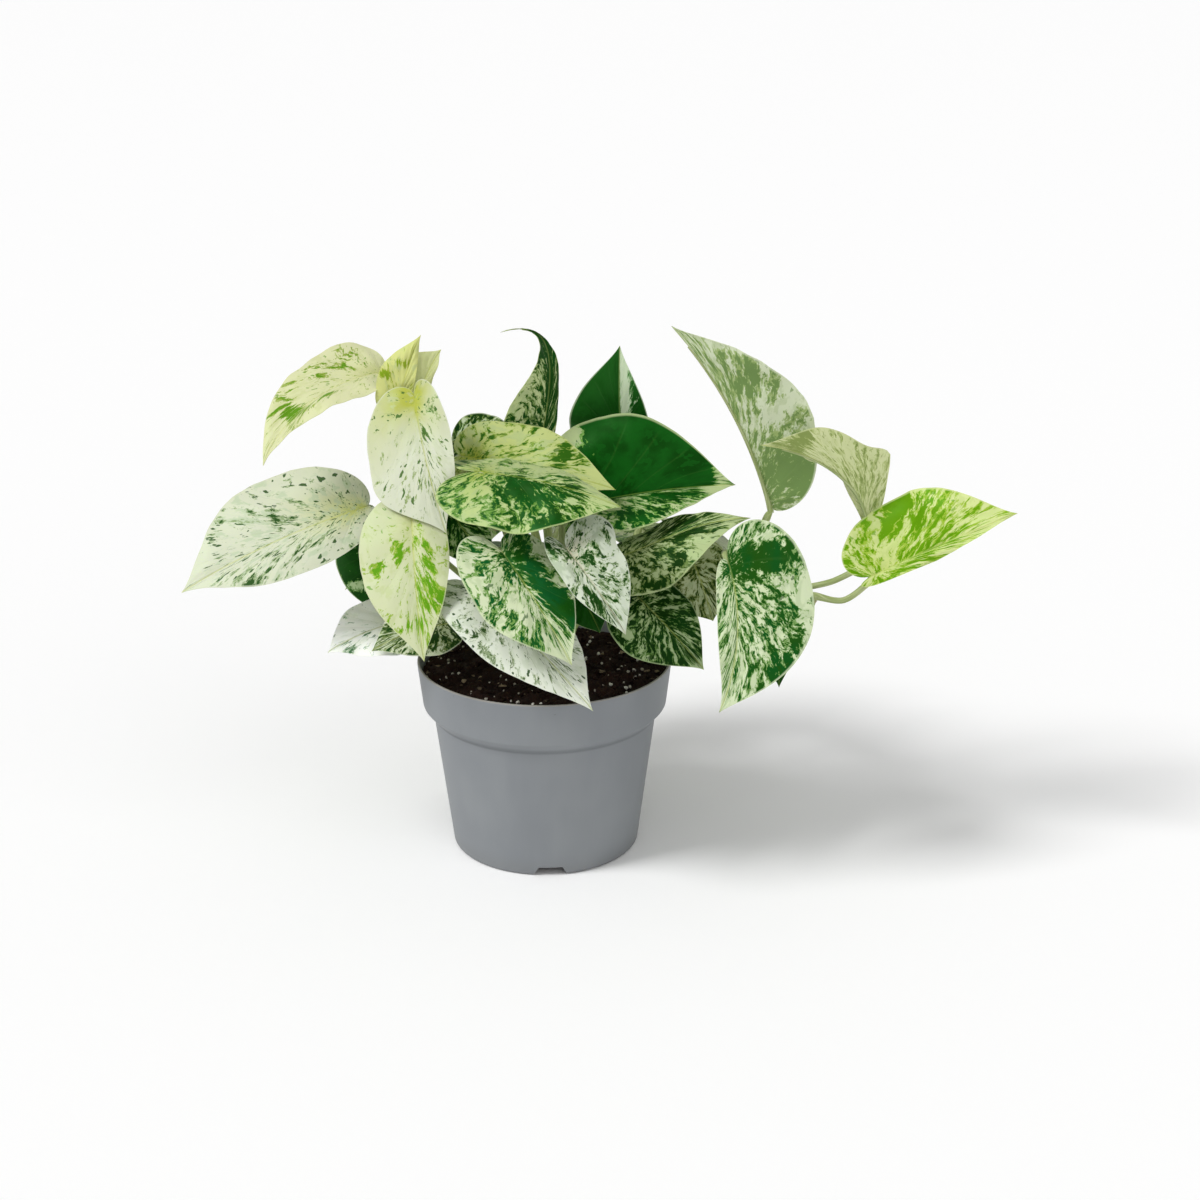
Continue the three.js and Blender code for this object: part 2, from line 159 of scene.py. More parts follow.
def newPiece(name, points, faces, finishes, slot, node=None, finishOf=None, attributes=None, sharp=50):
    mesh = bpy.data.meshes.new(name)
    mesh.from_pydata((np.asarray(points, float) * mm).tolist(), [], faces)
    for finish in finishes:
        mesh.materials.append(finish)
    if finishOf is not None:
        mesh.polygons.foreach_set("material_index", np.asarray(finishOf, np.int32))
    for key, values in (attributes or {}).items():
        flat = np.asarray(values, np.float32)
        kind, field = ("FLOAT_VECTOR", "vector") if flat.ndim > 1 else ("FLOAT", "value")
        mesh.attributes.new(key, kind, "POINT").data.foreach_set(field, flat.ravel())
    mesh.polygons.foreach_set("use_smooth", np.ones(len(mesh.polygons), bool))
    mesh.set_sharp_from_angle(angle=math.radians(sharp))
    mesh.update()
    piece = bpy.data.objects.new(name, mesh)
    scene.collection.objects.link(piece)
    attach(piece, "root")
    if node:
        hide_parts(node)
    return piece


# A centripetal curve through points, as in the CAD, sampled at even shares of its length
def throughPoints(points, count):
    points = np.asarray(points, float)
    padded = np.vstack([2 * points[0] - points[1], points, 2 * points[-1] - points[-2]])
    runs = []
    for i in range(len(points) - 1):
        a, b, c, d = padded[i:i + 4]
        da, db, dc = (max(np.linalg.norm(q - p), 1e-6) ** 0.5 for p, q in ((a, b), (b, c), (c, d)))
        leave = ((b - a) / da - (c - a) / (da + db) + (c - b) / db) * db
        reach = ((c - b) / db - (d - b) / (db + dc) + (d - c) / dc) * db
        t = np.linspace(0, 1, 60)[:, None]
        runs.append(b + leave * t + (3 * (c - b) - 2 * leave - reach) * t ** 2
                    + (2 * (b - c) + leave + reach) * t ** 3)
    dense = np.vstack([runs[0], *[run[1:] for run in runs[1:]]])
    gone = np.concatenate([[0], np.cumsum(np.linalg.norm(np.diff(dense, axis=0), axis=1))])
    shares = np.linspace(0, gone[-1], count) if np.isscalar(count) else np.asarray(count) * gone[-1]
    return np.stack([np.interp(shares, gone, dense[:, axis]) for axis in range(3)], 1), gone[-1]


# A closed round tube along points; radii has a value a point, and groove hollows the side towards up
def tube(points, radii, sides, up=(0, 0, 1), groove=0.0):
    points = np.asarray(points, float)
    forward = unit(np.gradient(points, axis=0))
    side = np.asarray(up, float)
    rings = []
    turns = np.linspace(0, 2 * math.pi, sides, endpoint=False)
    depth = 1 - groove * np.clip(np.cos(turns), 0, 1) ** 6
    for point, ahead, radius in zip(points, forward, radii):
        side = side - ahead * side.dot(ahead)
        if np.linalg.norm(side) < 1e-4:
            side = np.cross(ahead, (1.0, 0.3, 0.2))
        side = side / np.linalg.norm(side)
        other = np.cross(ahead, side)
        rings.append(point + radius * (depth * (np.cos(turns)[:, None] * side + np.sin(turns)[:, None]
                                                * other).T).T)
    corners = np.vstack([*rings, points[0], points[-1]])
    last = len(points) - 1
    faces = []
    for i in range(last):
        for j in range(sides):
            k = (j + 1) % sides
            faces.append((i * sides + j, i * sides + k, (i + 1) * sides + k, (i + 1) * sides + j))
    first, end = len(corners) - 2, len(corners) - 1
    for j in range(sides):
        k = (j + 1) % sides
        faces.append((first, k, j))
        faces.append((end, last * sides + j, last * sides + k))
    gone = np.concatenate([[0], np.cumsum(np.linalg.norm(np.diff(points, axis=0), axis=1))])
    around = np.tile(turns, len(points)) * np.repeat(radii, sides)
    place = np.stack([around, np.repeat(gone, sides)], 1)
    place = np.vstack([place, [0, 0], [0, gone[-1]]])
    return corners, faces, place


# Gentle seeded unevenness of about plus and minus 1
def uneven(u, v, seed, size):
    chance = np.random.default_rng(seed)
    total = 0
    for _ in range(6):
        turn, shift = chance.uniform(0, 2 * math.pi, 2)
        pitch = size * chance.uniform(0.7, 1.6)
        total = total + np.sin((u * math.cos(turn) + v * math.sin(turn)) * 2 * math.pi / pitch + shift)
    return total / 3


# Pot: radius, height and rounding at each corner of its turned section
pot = dict(
    sides=144,
    section=[
        (42, 0, 0.3), (44, 0.6, 1.4), (52.3, 65.7, 0.5), (57.15, 71.1, 0.6), (59.5, 91.1, 0.7),
        (59.3, 92, 0.3), (58.4, 92, 0.4), (55.7, 71.4, 2), (50.9, 66, 2),
        (42.4, 3.8, 1.5), (0, 3.8, 0), (0, 2, 0), (39, 2, 0.6), (39, 0, 0.3),
    ],
    notches=dict(count=3, wide=16.5, narrow=11, height=4.4, first=-86),
    drains=dict(count=6, radius=4, circle=24),
    # The crease colour is painted shade
    # The lip colour is partly dust and partly a painted highlight
    grey="84888b", shade="7c8084", scuff="94989a", foot="6b6a66", creaseShade="565a5d", lipDustAndHighlight="a29a8e",
    earth="33261b",
    # Heights in metres over which each mark fades in, or out at the foot and at the end of the painted
    # shade in the crease
    earthAt=(0.078, 0.0915), lipDustAndHighlightAt=(0.0912, 0.0918), footAt=(0.001, 0.012),
    creaseShadeAt=(0.0646, 0.0658), creaseShadeEnd=(0.0662, 0.0692),
)


# A closed section whose corners are rounded off by a short curve
def rounded(section, steps=5):
    made = []
    for i, (radius, height, rounding) in enumerate(section):
        corner = np.array((radius, height), float)
        if rounding == 0:
            made.append(corner)
            continue
        before = np.array(section[i - 1][:2], float) - corner
        after = np.array(section[(i + 1) % len(section)][:2], float) - corner
        start = corner + before * min(rounding / np.linalg.norm(before), 0.45)
        end = corner + after * min(rounding / np.linalg.norm(after), 0.45)
        for t in np.linspace(0, 1, steps):
            made.append(start * (1 - t) ** 2 + 2 * corner * t * (1 - t) + end * t ** 2)
    return made


def turnedShape(section, sides):
    corners, faces, rows = [], [], []
    turns = [2 * math.pi * j / sides for j in range(sides)]
    for radius, height in section:
        if radius < 1e-6:
            rows.append([len(corners)] * sides)
            corners.append((0, 0, height))
        else:
            rows.append(list(range(len(corners), len(corners) + sides)))
            corners += [(radius * math.cos(a), radius * math.sin(a), height) for a in turns]
    for i, row in enumerate(rows):
        after = rows[(i + 1) % len(rows)]
        for j in range(sides):
            k = (j + 1) % sides
            face = list(dict.fromkeys((row[j], row[k], after[k], after[j])))
            if len(face) > 2:
                faces.append(face)
    return corners, faces


def cutter(name, corners, faces):
    mesh = bpy.data.meshes.new(name)
    mesh.from_pydata((np.asarray(corners, float) * mm).tolist(), [], faces)
    return bpy.data.objects.new(name, mesh)


def potCutters():
    made = []
    notches, drains = pot["notches"], pot["drains"]
    box = [(0, 1, 2, 3), (7, 6, 5, 4), (0, 4, 5, 1), (1, 5, 6, 2), (2, 6, 7, 3), (3, 7, 4, 0)]
    for i in range(notches["count"]):
        turn = math.radians(notches["first"] + 360 * i / notches["count"])
        wide, narrow, high = notches["wide"] / 2, notches["narrow"] / 2, notches["height"]
        flat = [(x, y, z) for x in (36, 50)
                for y, z in ((-wide - 1, -2), (wide + 1, -2), (narrow, high), (-narrow, high))]
        corners = [(x * math.cos(turn) - y * math.sin(turn), x * math.sin(turn) + y * math.cos(turn), z)
                   for x, y, z in flat]
        made.append(cutter("notch", corners, box))
    for i in range(drains["count"]):
        turn = 2 * math.pi * (i + 0.5) / drains["count"]
        x, y = drains["circle"] * math.cos(turn), drains["circle"] * math.sin(turn)
        radius = drains["radius"]
        corners, faces = turnedShape([(0, -1), (radius, -1), (radius, 6), (0, 6)], 32)
        made.append(cutter("drain", np.array(corners) + (x, y, 0), faces))
    return made


def potFinish():
    finish, wire, feed = newFinish("greyMouldedPlastic", {"Specular IOR Level": 0.42})
    x, y, z = wire.node("TexCoord", out="Object").parts()
    broad = wire.noise([x * 30, y * 30, z * 22], 2.0)
    flow = wire.noise([x * 160, y * 160, z * 9], 3.0, 0.6)  # streaks that the moulding leaves
    grain = wire.noise([x * 2600, y * 2600, z * 2600], 1.0)
    scuffs = wire.noise([x * 420, y * 420, z * 90], 4.0, 0.7).step(0.66, 0.72)
    shade = (broad * 0.85 + flow * 0.2).step(0.35, 0.75)
    body = shade.pick(colour(pot["shade"]), colour(pot["grey"]))
    body = (scuffs * 0.12).pick(body, colour(pot["scuff"]))
    specks = wire.noise([x * 900, y * 900, z * 900], 2.0, 0.6)
    soiled = specks.step(0.72, 0.75) * z.step(*pot["earthAt"]) * 0.75
    # Paler at the lip: partly dust, partly a painted highlight on the lit top of the rim
    lip = z.step(*pot["lipDustAndHighlightAt"]) * (0.3 + broad * 0.5)
    low = (1 - z.step(*pot["footAt"])) * 0.22
    # Painted shade: a darker band in the crease under the collar
    creaseShade = (z.step(*pot["creaseShadeAt"]) - z.step(*pot["creaseShadeEnd"])) * 0.5
    body = lip.pick(body, colour(pot["lipDustAndHighlight"]))
    body = creaseShade.pick(low.pick(body, colour(pot["foot"])), colour(pot["creaseShade"]))
    feed("Base Color", soiled.pick(body, colour(pot["earth"])))
    feed("Roughness", 0.44 + flow * 0.12 + scuffs * 0.1 + grain * 0.05)
    height = grain * 0.35 + flow * 0.2 + broad * 0.2
    feed("Normal", height.bump(0.25, 0.0003))
    return finish


def makePot():
    corners, faces = turnedShape(rounded(pot["section"]), pot["sides"])
    blank = cutter("blank", corners, faces)
    tools = potCutters()
    for piece in (blank, *tools):
        shape = bmesh.new()
        shape.from_mesh(piece.data)
        bmesh.ops.recalc_face_normals(shape, faces=shape.faces)
        shape.to_mesh(piece.data)
        shape.free()
        scene.collection.objects.link(piece)
    for tool in tools:
        cut = blank.modifiers.new(tool.name, "BOOLEAN")
        cut.object, cut.operation, cut.solver = tool, "DIFFERENCE", "EXACT"
    depsgraph = bpy.context.evaluated_depsgraph_get()
    whole = bpy.data.meshes.new_from_object(blank.evaluated_get(depsgraph))
    points = np.array([tuple(v.co) for v in whole.vertices]) / mm
    shapes = [tuple(face.vertices) for face in whole.polygons]
    for piece in (blank, *tools):
        bpy.data.objects.remove(piece)
    newPiece("nurseryPot", points, shapes, [potFinish()], "pot", "pot", sharp=38)


makePot()
print("pot made")

# Potting soil: a crumbly top on a block that fills the pot, with grains, chips and crumbs lying on it
soil = dict(
    edge=85.5, mound=3, lump=0.9, rim=60, inset=2.2, rings=84, around=300,
    below=[(0, 4.3), (41.9, 4.3), (50.2, 66), (55, 71)], collar=[(57.2, 71), (60, 92)],
    crumbs=2600, crumbSize=(0.5, 1.7), crumbReach=58, crumbHeight=0.85, crumbSink=0.5, plainRim=1.2,
    unevenness=0.5, stoneReach=56.5, stoneTilt=0.5, stoneSeat=(0.35, 0.45),
    dark="160c08", brown="331b12", fibre="5d4630",
    loose=dict(count=420, size=(0.4, 1.3), flat=0.8, rough=0.28),
    grains=dict(count=130, size=(0.3, 1.0), flat=0.85, rough=0.28, pale="ece9e2", dark="a59c90", dull=0.8),
    chips=dict(count=70, size=(0.5, 1.8), flat=0.35, rough=0.35, pale="94836a", dark="2e2118", dull=0.75),
)


# Height of the soil's top, as in the CAD
def soilTop(x, y):
    reach = np.hypot(x, y) / soil["rim"]
    mound = soil["mound"] * np.cos(math.pi / 2 * np.minimum(reach, 1))
    lumps = np.sin(0.43 * x + 1.1) * np.sin(0.37 * y + 0.4) + 0.6 * np.sin(0.81 * x - 0.63 * y)
    return soil["edge"] + mound + soil["lump"] * lumps * (1 - np.minimum(reach, 1) ** 4)


def scattered(count, seed, reach):
    chance = np.random.default_rng(seed)
    away, turn = reach * np.sqrt(chance.random(count)), 2 * math.pi * chance.random(count)
    return chance, np.stack([away * np.cos(turn), away * np.sin(turn)], 1)


def soilFinish():
    finish, wire, feed = newFinish("darkPottingSoil", {"Specular IOR Level": 0.25})
    x, y, z = wire.node("TexCoord", out="Object").parts()
    crumb = wire.noise([x * 700, y * 700, z * 700], 4.0, 0.65)
    wide = wire.noise([x * 90, y * 90, z * 90], 2.0)
    body = (crumb * 0.7 + wide * 0.4).step(0.42, 0.78).pick(colour(soil["dark"]), colour(soil["brown"]))
    fibre = wire.noise([x * 260, y * 1500, z * 600], 2.0, 0.5, 1.5).step(0.7, 0.74) * 0.5
    feed("Base Color", fibre.pick(body, colour(soil["fibre"])))
    feed("Roughness", 0.82 + crumb * 0.2)
    feed("Normal", crumb.bump(0.7, 0.0006))
    return finish


def makeSoil(finish):
    chance, centres = scattered(soil["crumbs"], 11, soil["crumbReach"])
    sizes = chance.uniform(*soil["crumbSize"], len(centres))
    tree = kdtree.KDTree(len(centres))
    for i, (x, y) in enumerate(centres):
        tree.insert((x, y, 0), i)
    tree.balance()
    (low, start), (high, end) = soil["collar"]
    share = (soil["edge"] - start) / (end - start)
    radius = low + (high - low) * share - soil["inset"]
    away = radius * np.linspace(1, 0, soil["rings"] + 1)[:-1]
    corners, faces = turnedShape(soil["below"] + [(r, 0) for r in away] + [(0, 0)], soil["around"])
    points = np.array(corners)
    top = points[:, 2] == 0
    x, y = points[top, 0], points[top, 1]
    height = soilTop(x, y) + soil["unevenness"] * uneven(x, y, 5, 9)
    for i, (px, py) in enumerate(zip(x, y)):
        lift = 0.0
        for _, index, gap in tree.find_n((px, py, 0), 3):
            size = sizes[index]
            if gap < size:
                lift = max(lift, math.sqrt(size ** 2 - gap ** 2) * soil["crumbHeight"])
        height[i] += lift - soil["crumbSink"]
    rimmed = np.hypot(x, y) > radius - soil["plainRim"]
    height[rimmed] = np.minimum(height[rimmed], soilTop(x, y)[rimmed])
    points[top, 2] = height
    newPiece("pottingSoil", points, faces[:-soil["around"]], [finish], "soil", "soil", sharp=180)


# Many uneven little stones in one mesh, each a pushed-about ball that is seated on the soil
def littleStones(name, kind, seed, finish):
    chance, places = scattered(kind["count"], seed, soil["stoneReach"])
    ball = bmesh.new()
    bmesh.ops.create_icosphere(ball, subdivisions=2, radius=1)
    shape = np.array([tuple(v.co) for v in ball.verts])
    sides = [tuple(v.index for v in face.verts) for face in ball.faces]
    ball.free()
    points, faces, tones = [], [], []
    tilt, (above, share) = soil["stoneTilt"], soil["stoneSeat"]
    for x, y in places:
        size = chance.uniform(*kind["size"]) * np.array((1, chance.uniform(0.55, 1), kind["flat"]))
        push = 1 + kind["rough"] * uneven(shape[:, 0] * 9, shape[:, 1] * 9 + shape[:, 2] * 5,
                                          int(chance.integers(1e6)), 13)
        turn, lean = chance.uniform(0, 2 * math.pi), chance.uniform(-tilt, tilt)
        stone = shape * push[:, None] * size
        stone = stone @ np.array([[1, 0, math.sin(lean)], [0, 1, 0], [-math.sin(lean), 0, 1]])
        spin = np.array([[math.cos(turn), math.sin(turn), 0],
                         [-math.sin(turn), math.cos(turn), 0], [0, 0, 1]])
        seat = soilTop(np.array(x), np.array(y)) + above + size[2] * share
        faces += [tuple(i + len(points) * len(shape) for i in face) for face in sides]
        points.append(stone @ spin + (x, y, float(seat)))
        tones.append(np.full(len(shape), chance.random()))
    newPiece(name, np.vstack(points), faces, [finish], "soil",
             attributes={"tone": np.concatenate(tones)}, sharp=180)


def stoneFinish(name, kind):
    finish, wire, feed = newFinish(name, {"Specular IOR Level": 0.3})
    x, y, z = wire.node("TexCoord", out="Object").parts()
    pits = wire.noise([x * 1500, y * 1500, z * 1500], 3.0, 0.6)
    tone = wire.attribute("tone")
    body = (tone * 0.6 + pits * 0.8).step(0.35, 1.0).pick(colour(kind["dark"]), colour(kind["pale"]))
    feed("Base Color", body)
    feed("Roughness", kind["dull"] + pits * 0.15)
    feed("Normal", pits.bump(0.6, 0.0004))
    return finish


soilLook = soilFinish()
makeSoil(soilLook)
littleStones("looseSoilCrumbs", soil["loose"], 21, soilLook)
littleStones("perliteGrains", soil["grains"], 31, stoneFinish("whitePerlite", soil["grains"]))
littleStones("barkChips", soil["chips"], 41, stoneFinish("paleBark", soil["chips"]))
print("soil made")

# Leaves. The blade's form has the CAD's values: fold is the angle of its halves at the midrib and cup how
# they curl from there, bow and via bend the midrib, and turn twists it. For its left and right half, belly
# is where it is widest, shoulder how broad it starts and lobe how far it reaches back. sharp is the tip,
# wave and waves ripple the rim, and rise is how far from below the petiole comes.
usualBlade = dict(fold=14, cup=-30, bow=5, turn=0, belly=[0.3, 0.3], shoulder=[1, 1], lobe=[1, 1],
                  sharp=0, wave=0.8, waves=2.2, rise=7)
# The look says how a leaf is marbled. amount is how green its left and right half are, seen from above with
# the tip up. Each spot adds green or takes it away: where along and across it is, its size both ways, and
# how much. streak is the strokes' length and width. haze, warmth and speck are how strong the dull green
# tone, the yellow near the petiole and the dark dots are. The tones run from the palest to the deepest.
usualLook = dict(amount=[0.4, 0.4], spots=[], streak=[9.5, 2.9], bend=4, gap=0.03, haze=0.4,
                 speck=0.7, speckSize=1, speckFrom=0.67, warmth=0.4, warmReach=[0.75, 0.6],
                 pale="c3cb9f", warm="b3bb60", ghost="a0b285", light="74983f", dark="1a4a10",
                 deepGreen=None)
slotLooks = dict(
    cream=dict(amount=[0.34, 0.32], pale="cdd2b6", light="8ba36a", dark="2c5220"),
    lime=dict(amount=[0.5, 0.44], pale="c2cc80", light="8cac34", dark="4a8014", warmth=0.6),
    marbled=dict(amount=[0.52, 0.5]),
    deep=dict(amount=[0.8, 0.74], pale="a9ba88", light="3f7030", dark="104008", deepGreen="083004"),
)
blade = dict(ribs=60, across=16, thick=0.5, edge=0.22, widest=0.42, spread=1.5, veins=8, relief=0.2,
             groove=0.24, unevenness=0.85, margin=0.35, lean=0.27, leanRate=2.2)
petiole = dict(foot=2.3, gap=0.3, sunk=0.8, knee=3, steps=30, sides=14, groove=0.22, thin=1.45,
               sheath=2.2, sheathLength=7, joint=1.85, jointAt=6, jointLength=4,
               ridge=(1.0, 0.25), ridgeFrom=0.03, ridgeTo=0.88, ridgeSteps=22, ridgeDrop=0.15,
               pale="b4bd8a", dark="93a263", brown="8a7a52")
stems = {
    "left_high": [[-22, 14], [-32, 16, 120], [-44, 16, 160], [-54, 14, 194]],
    "left_low": [[-26, 6], [-36, 4, 108], [-48, 4, 124], [-58, 8, 138]],
    "front_left": [[-12, -12], [-16, -20, 106], [-20, -28, 124], [-22, -32, 138]],
    "middle": [[-6, -4], [-8, -8, 120], [-14, -12, 150], [-20, -14, 172]],
    "crown": [[4, 16], [4, 18, 120], [2, 16, 146], [0, 14, 164]],
    "front_right": [[8, -14], [13, -15, 112], [24, -16, 128], [32, -16, 138]],
    "long_right": [[6, 6], [12, 4, 118], [34, 0, 134], [68, -4, 128], [104, -5, 119], [126, -3, 121]],
    "back_left": [[-20, 30], [-28, 42, 108], [-38, 52, 128], [-46, 58, 142]],
    "back_middle": [[2, 36], [0, 46, 112], [-6, 52, 138], [-12, 54, 158]],
    "back_right": [[12, 28], [26, 38, 110], [44, 44, 126], [54, 46, 136]],
}


# One leaf: how far up its stem it joins, its blade's base and tip, the way it faces, its half widths, its
# slot, and then the blade's and the look's values that aren't as usual
def leaf(at, base, tip, face, half, slot, **rest):
    return dict(at=at, base=base, tip=tip, face=face, half=half, slot=slot, **rest)


